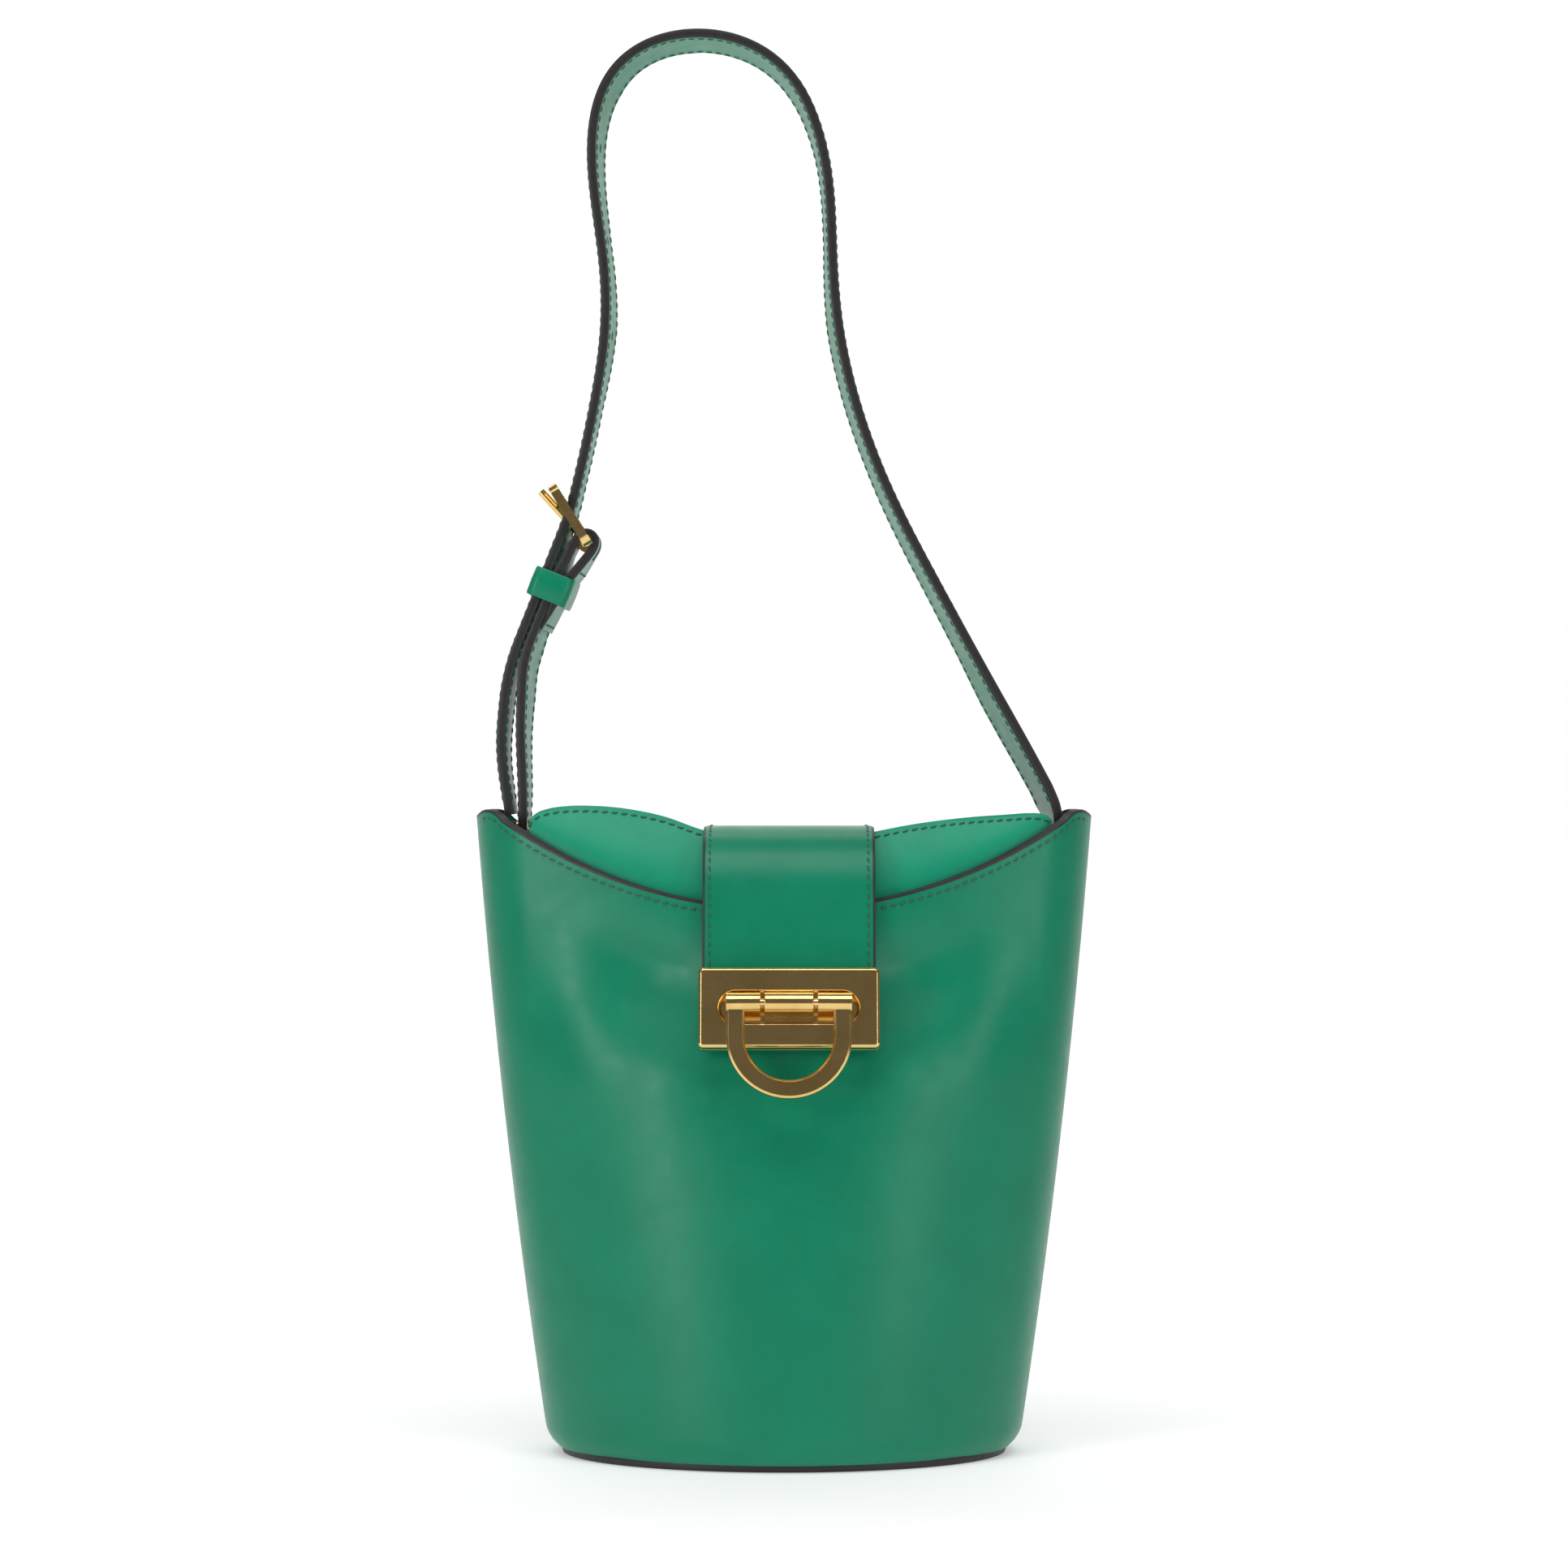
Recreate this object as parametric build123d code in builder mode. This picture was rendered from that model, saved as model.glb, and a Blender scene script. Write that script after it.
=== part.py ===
from build123d import *
import os
from math import atan2, cos, degrees, pi, sin, sqrt, tan

# Bucket bag of structured leather: an oval body that widens upwards, a three-lobed flap over the
# mouth, a metal clasp plate with a hanging ring on the flap's tab, and one buckled carrying strap.
# Millimetres.  +Z is up, -Y is the front, and the origin is the centre of the base's underside.

os.makedirs("parts", exist_ok=True)

# ---- leather body -----------------------------------------------------------------------------
BODY_HALF_WIDTH = 72.0      # at the base, before the bottom corner is rounded
BODY_FLARE = 0.155          # growth of the half width per millimetre of height
BODY_FLARE_LOSS = 0.0002    # how that growth fades with height
BODY_HALF_DEPTH = 54.5      # at the base
MOUTH_HALF_DEPTH = 34.0     # at the mouth
SHOULDER_INSET = 6.0        # how much shallower than the base the body is at its shoulder
WALL_CURVE = 1.6            # how that loss gathers towards the shoulder
RIM_DIP_Z = 168.0           # lowest point of the rim, at the middle: the height of the bag
MOUTH_Z = RIM_DIP_Z + 4.0   # height of the mouth's front and back, where the lean ends
SHOULDER_Z = MOUTH_Z - 57.0     # above this the front and back lean in, straight, to the mouth
BASE_END_RADIUS = 37.0      # plan radius of the narrow ends, at the base
MOUTH_END_RADIUS = 22.0     # and at the mouth
BOTTOM_CORNER = 9.0         # rounding between walls and base
RIM_DIP_RADIUS = 153.0      # arc of the rim seen from the front
PEAK_X = BODY_HALF_WIDTH + 18.0     # the rim's rounded side peak
PEAK_REACH = 4.0            # from the end of the rim's arc to the peak
PEAK_RISE = 2.94
PEAK_DROP = 1.8             # from the peak down to where the rim reaches the very side
LOFT_ABOVE_PEAK = 5.6
PANEL_THICKNESS = 2.0
LINING_THICKNESS = 0.8
GLUE_LINE = 0.05            # gap between glued curved skins
LINING_BELOW_RIM = 2.5
SEAM_GAP = 0.04             # between the two panels, at each side seam

# ---- base -------------------------------------------------------------------------------------
BASE_HALF_LENGTH = BODY_HALF_WIDTH - 3.7
BASE_HALF_DEPTH = BODY_HALF_DEPTH - 4.5
BASE_THICKNESS = 3.0
BOARD_THICKNESS = 2.0
BOARD_CLEARANCE = 0.4

# ---- flap -------------------------------------------------------------------------------------
FLAP_X = 1.5                # the flap's tab sits a little right of the middle
TAB_WIDTH = 52.0
FLAP_THICKNESS = 2.2
TAB_CLEARANCE = 0.4         # tab to front wall
NECK_CLEARANCE = 0.1        # neck to back wall, where it is sewn down
CREST_Z = RIM_DIP_Z + 23.2  # middle of the leather at the flap's crest
CREST_RADIUS = 22.0         # bend of the flap over the front and the back of the mouth
FOLD_GAP = 0.3              # half the gap between tab and neck at the fold line
NECK_FOOT_Z = RIM_DIP_Z - 34.0      # the sewn end of the neck, down the back
LEAF_THICKNESS = 2.0
LEAF_FRONT_Y = 5.4 - MOUTH_HALF_DEPTH   # the leaves' sloping sheet passes through these two lines
LEAF_FRONT_Z = RIM_DIP_Z + 1.5
LEAF_BACK_Y = LEAF_FRONT_Y + 14.6
LEAF_BACK_Z = LEAF_FRONT_Z + 27.5
LEAF_RIM_OVERLAP = 0.5      # how far the leaves tuck below the rim
LEAF_WALL_GAP = 1.5         # leaf to the inside of the wall
LEAF_ROOT = TAB_WIDTH / 2 - 6.0     # the leaves run in under the tab to here
LEAF_STRAP_GAP = 0.9        # end of each leaf to the strap's leg
# Each leaf: its middle, in from the rim's peak, and its rise above the rim at three places.
LEFT_LEAF = {"middle": 32.0, "root_rise": 20.29, "middle_rise": 18.98, "end_rise": 6.4}
RIGHT_LEAF = {"middle": 30.0, "root_rise": 19.89, "middle_rise": 14.95, "end_rise": 2.9}

# ---- clasp ------------------------------------------------------------------------------------
CLASP_Z = RIM_DIP_Z - 31.5
PLATE_WIDTH = TAB_WIDTH + 2.0
PLATE_HEIGHT = 24.3
TAB_SHORT = 0.8             # the tab ends this far above the plate's lower edge
PLATE_CORNER = 1.6
TRAY_THICKNESS = 3.0        # solid tray that is riveted to the tab
CAP_THICKNESS = 4.0         # slotted cap over the tray
CAP_EDGE = 0.7
RING_WIDTH = 37.3
SLOT_LENGTH = RING_WIDTH + 3.4
SLOT_WIDTH = 9.0
PIN_RADIUS = 1.2
PIN_V = 0.9                 # pin above the plate's middle, along the plate
PIN_PROUD = 2.2             # pin in front of the cap's face
RUNNING_CLEARANCE = 0.05
BLOCK_WIDTH = 14.7
BLOCK_RADIUS = 3.0
RING_BAND = 5.4
RING_THICKNESS = 3.4
RING_DROP = 29.0            # pin to the bottom of the ring
RING_EDGE = 0.6
LUG_INNER = BLOCK_WIDTH / 2 + 1.25  # the ring's lugs run from here to the ring's outside
LUG_RADIUS = 2.9
PIN_END_COVER = 0.9
MAGNET_RADIUS = 6.0
MAGNET_THICKNESS = 1.1
MAGNET_CLEARANCE = 0.2
MAGNET_COVER = 0.7          # leather left over the magnet in the front panel
RIVET_RADIUS = 1.0
RIVET_HEAD_RADIUS = 2.0
RIVET_HEAD_THICKNESS = 0.6
RIVET_DEPTH = 1.8
RIVET_X = TAB_WIDTH / 2 - 4.0
RIVET_V = PLATE_HEIGHT / 2 - 4.15

# ---- carrying strap ---------------------------------------------------------------------------
STRAP_WIDTH = 20.0
STRAP_THICKNESS = 2.8
STRAP_PIVOT_Z = RIM_DIP_Z + 22.0
TIP_GAP = 1.2               # from the loose tip, tucked just inside the mouth, to the chape
TIP_CLEARANCE = 2.2         # from the loose tip down to the anchor's shoulder
HOLE_RADIUS = 1.5
# Places on the strap are given from its leg's own post: how far in from the leg, and how far up.
ADJUST_HOLES = ((25.1, 211.0), (28.4, 182.5), (30.4, 153.5))
# The strap's route seen from the front, from its loose tip on the left to its post on the right.
# Each corner also has the length of leather that its bend takes.
LEFT_BENDS = (
    (-3.2, 26.0, 9), (-0.9, 50.0, 10), (20.3, 103.0, 13), (31.8, 161.0, 21),
    (23.2, 209.0, 12), (27.0, 235.0, 10), (45.0, 246.4, 10),
)
RIGHT_BENDS = (
    (98.0, 246.4, 10), (79.5, 235.0, 10), (69.4, 206.0, 14), (69.2, 156.0, 22),
    (56.5, 112.0, 22), (24.0, 52.0, 19), (4.5, 18.0, 6), (0.0, 7.5, 4),
)

# ---- buckle, chape and keeper -----------------------------------------------------------------
BAR_IN = 23.5               # the buckle's bar, in from the left leg and up from the post
BAR_RISE = 89.5
BAR_RADIUS = 1.8
BUCKLE_LEAN = 32.0          # degrees that the frame leans out from upright
FRAME_LENGTH = 22.0
FRAME_SIDE = 3.5
FRAME_STRAP_GAP = 0.7
FRAME_HALF_WIDTH = STRAP_WIDTH / 2 + FRAME_STRAP_GAP + FRAME_SIDE
FRAME_THICKNESS = 2.8
EYE_CLEARANCE = 0.1
PRONG_RADIUS = 1.2
PRONG_COLLAR_RADIUS = 3.1
PRONG_COLLAR_WIDTH = 4.4
PRONG_SLOT_CLEARANCE = 0.5
PRONG_OVERHANG = 0.9
PRONG_REST_GAP = 0.4        # prong to the frame's end bar that it rests on
PRONG_HOLE_CLEARANCE = 0.5
PRONG_SWING_ROOM = 1.9      # how much longer than the prong its strap hole is, to the outside
LAYER_GAP = 0.5             # strap to folded chape, under the keeper
FOLD_END_RISE = 64.6        # the folded-back layer of the chape is sewn down to here
FOLD_TOP_DROP = 4.5         # below the bar, where the folded leather parts to go round it
LAYER_BEND_DROP = 10.0      # below the fold's end, where the chape's leg joins the run
LAYER_END_RISE = 8.0
CHAPE_BENDS = ((0.0, 14.0, 5), (-0.9, 32.0, 7))
KEEPER_HEIGHT = 9.0
KEEPER_WALL = 1.6
KEEPER_CLEARANCE = 0.35
KEEPER_RISE = 76.7

# ---- strap anchors inside the mouth -----------------------------------------------------------
ANCHOR_HALF_WIDTH = 9.0
ANCHOR_DROP = 13.0          # from the post down to the plate's lower end
ANCHOR_RISE = 4.3
ANCHOR_THICKNESS = 2.83     # plate's inner face to the lining
SHOULDER_LENGTH = 2.9       # of the right post, whose leg is the outer one
SHOULDER_RADIUS = 3.6
POST_RADIUS = 3.0
POST_GAP = 0.3              # strap to shoulder, and strap to screw head
SCREW_RADIUS = 1.5
SCREW_DEPTH = 5.0
SCREW_HEAD_RADIUS = 4.6
SCREW_HEAD_THICKNESS = 1.4
SCREW_SLOT = 0.9


# ---- shape of the body --------------------------------------------------------------------------
def corner_loss(z):
    """How far the rounded bottom corner stands in from the wall's own line."""
    if z >= BOTTOM_CORNER:
        return 0.0
    return BOTTOM_CORNER - sqrt(BOTTOM_CORNER ** 2 - (BOTTOM_CORNER - z) ** 2)


def half_width(z):
    return BODY_HALF_WIDTH + BODY_FLARE * z - BODY_FLARE_LOSS * z * z - corner_loss(z)


def half_depth(z):
    if z >= MOUTH_Z:
        return MOUTH_HALF_DEPTH
    if z >= SHOULDER_Z:
        return MOUTH_HALF_DEPTH + WALL_LEAN * (MOUTH_Z - z)
    return BODY_HALF_DEPTH - SHOULDER_INSET * (z / SHOULDER_Z) ** WALL_CURVE - corner_loss(z)


def end_radius(z):
    share = min(z, MOUTH_Z) / MOUTH_Z
    return BASE_END_RADIUS + (MOUTH_END_RADIUS - BASE_END_RADIUS) * share


def rim_height(x):
    """Height of the rim's wide arc at x."""
    return RIM_DIP_Z + RIM_DIP_RADIUS - sqrt(RIM_DIP_RADIUS ** 2 - x * x)


WALL_LEAN = (BODY_HALF_DEPTH - SHOULDER_INSET - MOUTH_HALF_DEPTH) / (MOUTH_Z - SHOULDER_Z)
LEAN = atan2(WALL_LEAN, 1.0)
ARC_END_Z = rim_height(PEAK_X - PEAK_REACH)
PEAK_Z = ARC_END_Z + PEAK_RISE
PEAK_SIDE_Z = PEAK_Z - PEAK_DROP
LOFT_TOP = PEAK_Z + LOFT_ABOVE_PEAK
CORNER_HEIGHTS = (2.0, 4.0, 6.5, BOTTOM_CORNER + 1.0, BOTTOM_CORNER + 7.0)
WALL_HEIGHTS = tuple(SHOULDER_Z * step / 23 for step in (8, 13, 18, 23))
LOFT_HEIGHTS = (*CORNER_HEIGHTS, *WALL_HEIGHTS, MOUTH_Z, LOFT_TOP)
# The strap's two legs stand inside the mouth, in from the anchors' plates on the lining.
ANCHOR_FACE_X = half_width(STRAP_PIVOT_Z) - PANEL_THICKNESS - LINING_THICKNESS - ANCHOR_THICKNESS
STRAP_LEG_X = ANCHOR_FACE_X - SHOULDER_LENGTH - POST_GAP - STRAP_THICKNESS / 2
CHAPE_LEG_X = STRAP_LEG_X - STRAP_THICKNESS - TIP_GAP


def oval(a, b, r):
    """Oval of half length a and half depth b: two end arcs of radius r and two long arcs."""
    long_radius = ((a - r) ** 2 + b * b - r * r) / (2 * (b - r))
    angle = atan2(long_radius - b, a - r)
    x = a - r + r * cos(angle)
    y = r * sin(angle)
    with BuildLine() as outline:
        ThreePointArc((x, -y), (a, 0), (x, y))
        ThreePointArc((x, y), (0, b), (-x, y))
        ThreePointArc((-x, y), (-a, 0), (-x, -y))
        ThreePointArc((-x, -y), (0, -b), (x, -y))
    return make_face(outline.line.edges(), mode=Mode.PRIVATE)


def body_form(inset):
    """The body's outer form, taken in all round by an inset."""
    with BuildPart() as form:
        for z in LOFT_HEIGHTS:
            with BuildSketch(Plane.XY.offset(z)):
                add(oval(half_width(z) - inset, half_depth(z) - inset, end_radius(z) - inset))
        loft(ruled=True)
    return form.part


def above_rim(drop):
    """Everything above the rim's line, with that line lowered by a drop."""
    reach = 2 * BODY_HALF_WIDTH
    side_x = half_width(PEAK_SIDE_Z)
    side_z = PEAK_SIDE_Z - drop
    peak = (PEAK_X, PEAK_Z - drop)
    arc_end = (PEAK_X - PEAK_REACH, ARC_END_Z - drop)
    with BuildPart() as cut:
        with BuildSketch(Plane.XZ.offset(-reach)):
            with BuildLine():
                Polyline(
                    (side_x, side_z), (reach, side_z), (reach, 2 * LOFT_TOP),
                    (-reach, 2 * LOFT_TOP), (-reach, side_z), (-side_x, side_z),
                )
                ThreePointArc((-side_x, side_z), (-peak[0], peak[1]), (-arc_end[0], arc_end[1]))
                ThreePointArc((-arc_end[0], arc_end[1]), (0, RIM_DIP_Z - drop), arc_end)
                ThreePointArc(arc_end, peak, (side_x, side_z))
            make_face()
        extrude(amount=2 * reach)
    return cut.part


outer_form = body_form(0.0)
panel_inside = body_form(PANEL_THICKNESS)
lining_outside = body_form(PANEL_THICKNESS + GLUE_LINE)
lining_inside = body_form(PANEL_THICKNESS + GLUE_LINE + LINING_THICKNESS)
anchor_room = body_form(PANEL_THICKNESS + LINING_THICKNESS + 3 * GLUE_LINE)
rim_cut = above_rim(0.0)
lining_cut = above_rim(LINING_BELOW_RIM)


# ---- planes of the flap and the clasp -----------------------------------------------------------
def wall_offset(z, offset):
    """Point (y, z) that stands off the leaning front wall by an offset, square to the wall."""
    wall_y = -(MOUTH_HALF_DEPTH + WALL_LEAN * (MOUTH_Z - z))
    return wall_y - offset * cos(LEAN), z + offset * sin(LEAN)


def crest_centre(clearance):
    """Centre (y, z) of the bend that takes the flap from the leaning wall to its level crest."""
    stand = clearance + FLAP_THICKNESS / 2
    centre_z = CREST_Z - CREST_RADIUS
    bend_z = centre_z + CREST_RADIUS * sin(LEAN)
    bend_y, _ = wall_offset(bend_z - stand * sin(LEAN), stand)
    return bend_y + CREST_RADIUS * cos(LEAN), centre_z


FOLD_Y = crest_centre(TAB_CLEARANCE)[0] + FOLD_GAP
clasp_y, clasp_z = wall_offset(CLASP_Z, TAB_CLEARANCE + FLAP_THICKNESS)
CLASP_ORIGIN = (FLAP_X, clasp_y, clasp_z)
# Face plane: x to the right, y up along the tab, z out of the tab.  Section plane: x up, y out.
face_plane = Plane(origin=CLASP_ORIGIN, x_dir=(1, 0, 0), z_dir=(0, -cos(LEAN), sin(LEAN)))
section_plane = Plane(origin=CLASP_ORIGIN, x_dir=(0, sin(LEAN), cos(LEAN)), z_dir=(1, 0, 0))
CAP_FACE = TRAY_THICKNESS + CAP_THICKNESS
PIN_W = CAP_FACE + PIN_PROUD


def bent_strip(side, clearance, foot_z, end_y):
    """Section of the flap's leather: up the wall, round the bend and level to end_y."""
    centre_y, centre_z = crest_centre(clearance)
    half = FLAP_THICKNESS / 2
    with BuildLine() as outline:
        rims = []
        for radius in (CREST_RADIUS + half, CREST_RADIUS - half):
            stand = clearance + half + radius - CREST_RADIUS
            foot_y, foot_height = wall_offset(foot_z, stand)
            bend = (centre_y - radius * cos(LEAN), centre_z + radius * sin(LEAN))
            middle = (centre_y - radius * sin(pi / 4 - LEAN / 2), centre_z + radius * cos(pi / 4 - LEAN / 2))
            top = (centre_y, centre_z + radius)
            Line((side * foot_y, foot_height), (side * bend[0], bend[1]))
            ThreePointArc((side * bend[0], bend[1]), (side * middle[0], middle[1]), (side * top[0], top[1]))
            if abs(end_y - side * top[0]) > 0.001:
                Line((side * top[0], top[1]), (end_y, top[1]))
            rims.append(((side * foot_y, foot_height), (end_y, top[1])))
        Line(rims[0][0], rims[1][0])
        Line(rims[0][1], rims[1][1])
    return make_face(outline.line.edges(), mode=Mode.PRIVATE)


# ---- base ---------------------------------------------------------------------------------------
with BuildPart() as base_plate:
    with BuildSketch():
        Ellipse(BASE_HALF_LENGTH, BASE_HALF_DEPTH)
    extrude(amount=BASE_THICKNESS)
base_plate.part.label = "base_plate"
export_step(base_plate.part, "parts/base_plate.step")

board_top = BASE_THICKNESS + BOARD_THICKNESS
with BuildPart() as base_board:
    with BuildSketch(Plane.XY.offset(BASE_THICKNESS)):
        inset = PANEL_THICKNESS + BOARD_CLEARANCE
        add(oval(
            half_width(BASE_THICKNESS) - inset, half_depth(BASE_THICKNESS) - inset,
            end_radius(BASE_THICKNESS) - inset,
        ))
    extrude(amount=BOARD_THICKNESS)
base_board.part.label = "base_board"
export_step(base_board.part, "parts/base_board.step")

# ---- front and back panels, joined at the side seams --------------------------------------------
magnet_plane = face_plane.offset(-TAB_CLEARANCE - FLAP_THICKNESS - MAGNET_COVER)


def panel(side):
    """One half of the leather wall: side -1 is the front, 1 is the back."""
    reach = 2 * BODY_HALF_WIDTH
    with BuildPart() as half:
        with BuildSketch(Plane.XY.offset(BASE_THICKNESS)):
            with Locations((0, side * (reach / 2 + SEAM_GAP / 2))):
                Rectangle(2 * reach, reach)
        extrude(amount=LOFT_TOP)
        add(outer_form, mode=Mode.INTERSECT)
        add(panel_inside, mode=Mode.SUBTRACT)
        add(rim_cut, mode=Mode.SUBTRACT)
    return half.part


front_half = panel(-1)
back_half = panel(1)

with BuildPart() as front_panel:
    add(front_half)
    with BuildSketch(magnet_plane):
        Circle(MAGNET_RADIUS + MAGNET_CLEARANCE)
    extrude(amount=-2 * PANEL_THICKNESS, mode=Mode.SUBTRACT)
front_panel.part.label = "front_panel"
export_step(front_panel.part, "parts/front_panel.step")

with BuildPart() as back_panel:
    add(back_half)
back_panel.part.label = "back_panel"
export_step(back_panel.part, "parts/back_panel.step")

with BuildPart() as panel_magnet:
    with BuildSketch(magnet_plane):
        Circle(MAGNET_RADIUS)
    extrude(amount=-MAGNET_THICKNESS)
panel_magnet.part.label = "panel_magnet"
export_step(panel_magnet.part, "parts/panel_magnet.step")

# ---- lining: a bag of its own inside the panels -------------------------------------------------
with BuildPart() as hollow_form:
    with BuildSketch(Plane.XY.offset(board_top + LINING_THICKNESS)):
        Rectangle(4 * BODY_HALF_WIDTH, 4 * BODY_HALF_DEPTH)
    extrude(amount=LOFT_TOP)
    add(lining_inside, mode=Mode.INTERSECT)
lining_hollow = hollow_form.part

with BuildPart() as body_lining:
    with BuildSketch(Plane.XY.offset(board_top)):
        Rectangle(4 * BODY_HALF_WIDTH, 4 * BODY_HALF_DEPTH)
    extrude(amount=LOFT_TOP)
    add(lining_outside, mode=Mode.INTERSECT)
    add(lining_hollow, mode=Mode.SUBTRACT)
    add(lining_cut, mode=Mode.SUBTRACT)
body_lining.part.label = "body_lining"
export_step(body_lining.part, "parts/body_lining.step")

# ---- flap: neck on the body, tab and two leaves that lift with it -------------------------------
with BuildPart() as flap_neck:
    with BuildSketch(Plane.YZ.offset(FLAP_X)):
        add(bent_strip(-1, NECK_CLEARANCE, NECK_FOOT_Z, FOLD_Y + FOLD_GAP))
    extrude(amount=TAB_WIDTH / 2, both=True)
flap_neck.part.label = "flap_neck"
export_step(flap_neck.part, "parts/flap_neck.step")

TAB_FOOT_Z = CLASP_Z - (PLATE_HEIGHT / 2 - TAB_SHORT) * cos(LEAN)
rivet_plane = face_plane.offset(-FLAP_THICKNESS)
with BuildPart() as flap_tab:
    with BuildSketch(Plane.YZ.offset(FLAP_X)):
        add(bent_strip(1, TAB_CLEARANCE, TAB_FOOT_Z, FOLD_Y - FOLD_GAP))
    extrude(amount=TAB_WIDTH / 2, both=True)
    with BuildSketch(rivet_plane):
        Circle(MAGNET_RADIUS + MAGNET_CLEARANCE)
    extrude(amount=MAGNET_THICKNESS, mode=Mode.SUBTRACT)
    with BuildSketch(rivet_plane):
        with GridLocations(2 * RIVET_X, 2 * RIVET_V, 2, 2):
            Circle(RIVET_RADIUS)
    extrude(amount=FLAP_THICKNESS, mode=Mode.SUBTRACT)
    with BuildSketch(rivet_plane):
        with GridLocations(2 * RIVET_X, 2 * RIVET_V, 2, 2):
            Circle(RIVET_HEAD_RADIUS)
    extrude(amount=RIVET_HEAD_THICKNESS, mode=Mode.SUBTRACT)
flap_tab.part.label = "flap_tab"
export_step(flap_tab.part, "parts/flap_tab.step")

with BuildPart() as flap_magnet:
    with BuildSketch(rivet_plane):
        Circle(MAGNET_RADIUS)
    extrude(amount=MAGNET_THICKNESS)
flap_magnet.part.label = "flap_magnet"
export_step(flap_magnet.part, "parts/flap_magnet.step")

leaf_rise = atan2(LEAF_BACK_Z - LEAF_FRONT_Z, LEAF_BACK_Y - LEAF_FRONT_Y)
leaf_plane = Plane(
    origin=(0, LEAF_FRONT_Y, LEAF_FRONT_Z), x_dir=(1, 0, 0), z_dir=(0, -sin(leaf_rise), cos(leaf_rise)),
)


def leaf_height(z):
    """A height, as the distance up the leaves' sloping sheet."""
    return (z - LEAF_FRONT_Z) / sin(leaf_rise)


with BuildPart() as leaf_room:
    with BuildSketch(Plane.XY.offset(RIM_DIP_Z / 2)):
        room = PANEL_THICKNESS + LEAF_WALL_GAP
        add(oval(half_width(MOUTH_Z) - room, MOUTH_HALF_DEPTH - room, MOUTH_END_RADIUS - room))
    extrude(amount=LOFT_TOP)


def leaf_sheet(side, leaf, leg_x):
    """One leaf: side -1 is the left, 1 is the right.  It fills the mouth up to the strap's leg."""
    end = leg_x - STRAP_THICKNESS / 2 - LEAF_STRAP_GAP
    middle = PEAK_X - leaf["middle"]
    halfway = (LEAF_ROOT + end) / 2
    low = LEAF_RIM_OVERLAP
    with BuildPart() as sheet:
        with BuildSketch(leaf_plane):
            with BuildLine():
                near_low = (side * LEAF_ROOT, leaf_height(rim_height(LEAF_ROOT) - low))
                mid_low = (side * halfway, leaf_height(rim_height(halfway) - low))
                far_low = (side * end, leaf_height(rim_height(end) - low))
                far_high = (side * end, leaf_height(rim_height(end) + leaf["end_rise"]))
                mid_high = (side * middle, leaf_height(rim_height(middle) + leaf["middle_rise"]))
                near_high = (side * LEAF_ROOT, leaf_height(rim_height(LEAF_ROOT) + leaf["root_rise"]))
                ThreePointArc(near_low, mid_low, far_low)
                Line(far_low, far_high)
                ThreePointArc(far_high, mid_high, near_high)
                Line(near_high, near_low)
            make_face()
        extrude(amount=LEAF_THICKNESS / 2, both=True)
        add(leaf_room.part, mode=Mode.INTERSECT)
    return sheet.part


left_sheet = leaf_sheet(-1, LEFT_LEAF, CHAPE_LEG_X)
right_sheet = leaf_sheet(1, RIGHT_LEAF, STRAP_LEG_X)
for sheet, name in ((left_sheet, "flap_leaf_left"), (right_sheet, "flap_leaf_right")):
    with BuildPart() as flap_leaf:
        add(sheet)
    flap_leaf.part.label = name
    export_step(flap_leaf.part, f"parts/{name}.step")

# ---- clasp: tray, slotted cap, rivets, knuckle block and pin ------------------------------------
with BuildPart() as clasp_tray:
    with BuildSketch(face_plane):
        RectangleRounded(PLATE_WIDTH, PLATE_HEIGHT, PLATE_CORNER)
    extrude(amount=TRAY_THICKNESS)
    with BuildSketch(face_plane):
        with GridLocations(2 * RIVET_X, 2 * RIVET_V, 2, 2):
            Circle(RIVET_RADIUS)
    extrude(amount=RIVET_DEPTH, mode=Mode.SUBTRACT)
clasp_tray.part.label = "clasp_tray"
export_step(clasp_tray.part, "parts/clasp_tray.step")

with BuildPart() as clasp_cap:
    with BuildSketch(face_plane.offset(TRAY_THICKNESS)):
        RectangleRounded(PLATE_WIDTH, PLATE_HEIGHT, PLATE_CORNER)
        SlotOverall(SLOT_LENGTH, SLOT_WIDTH, mode=Mode.SUBTRACT)
    extrude(amount=CAP_THICKNESS)
    front_edges = clasp_cap.edges().filter_by(
        lambda e: abs(face_plane.to_local_coords(e.center()).Z - CAP_FACE) < 0.01
    )
    chamfer(front_edges, CAP_EDGE)
clasp_cap.part.label = "clasp_cap"
export_step(clasp_cap.part, "parts/clasp_cap.step")

with BuildPart() as clasp_rivets:
    with BuildSketch(rivet_plane):
        with GridLocations(2 * RIVET_X, 2 * RIVET_V, 2, 2):
            Circle(RIVET_RADIUS)
    extrude(amount=FLAP_THICKNESS + RIVET_DEPTH)
    with BuildSketch(rivet_plane):
        with GridLocations(2 * RIVET_X, 2 * RIVET_V, 2, 2):
            Circle(RIVET_HEAD_RADIUS)
    extrude(amount=RIVET_HEAD_THICKNESS)
clasp_rivets.part.label = "clasp_rivets"
export_step(clasp_rivets.part, "parts/clasp_rivets.step")

with BuildPart() as clasp_block:
    with BuildSketch(section_plane):
        with Locations((PIN_V, PIN_W)):
            Circle(BLOCK_RADIUS)
        with Locations((PIN_V, (PIN_W + TRAY_THICKNESS) / 2)):
            Rectangle(2 * BLOCK_RADIUS, PIN_W - TRAY_THICKNESS)
        with Locations((PIN_V, PIN_W)):
            Circle(PIN_RADIUS, mode=Mode.SUBTRACT)
    extrude(amount=BLOCK_WIDTH / 2, both=True)
clasp_block.part.label = "clasp_block"
export_step(clasp_block.part, "parts/clasp_block.step")

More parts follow.
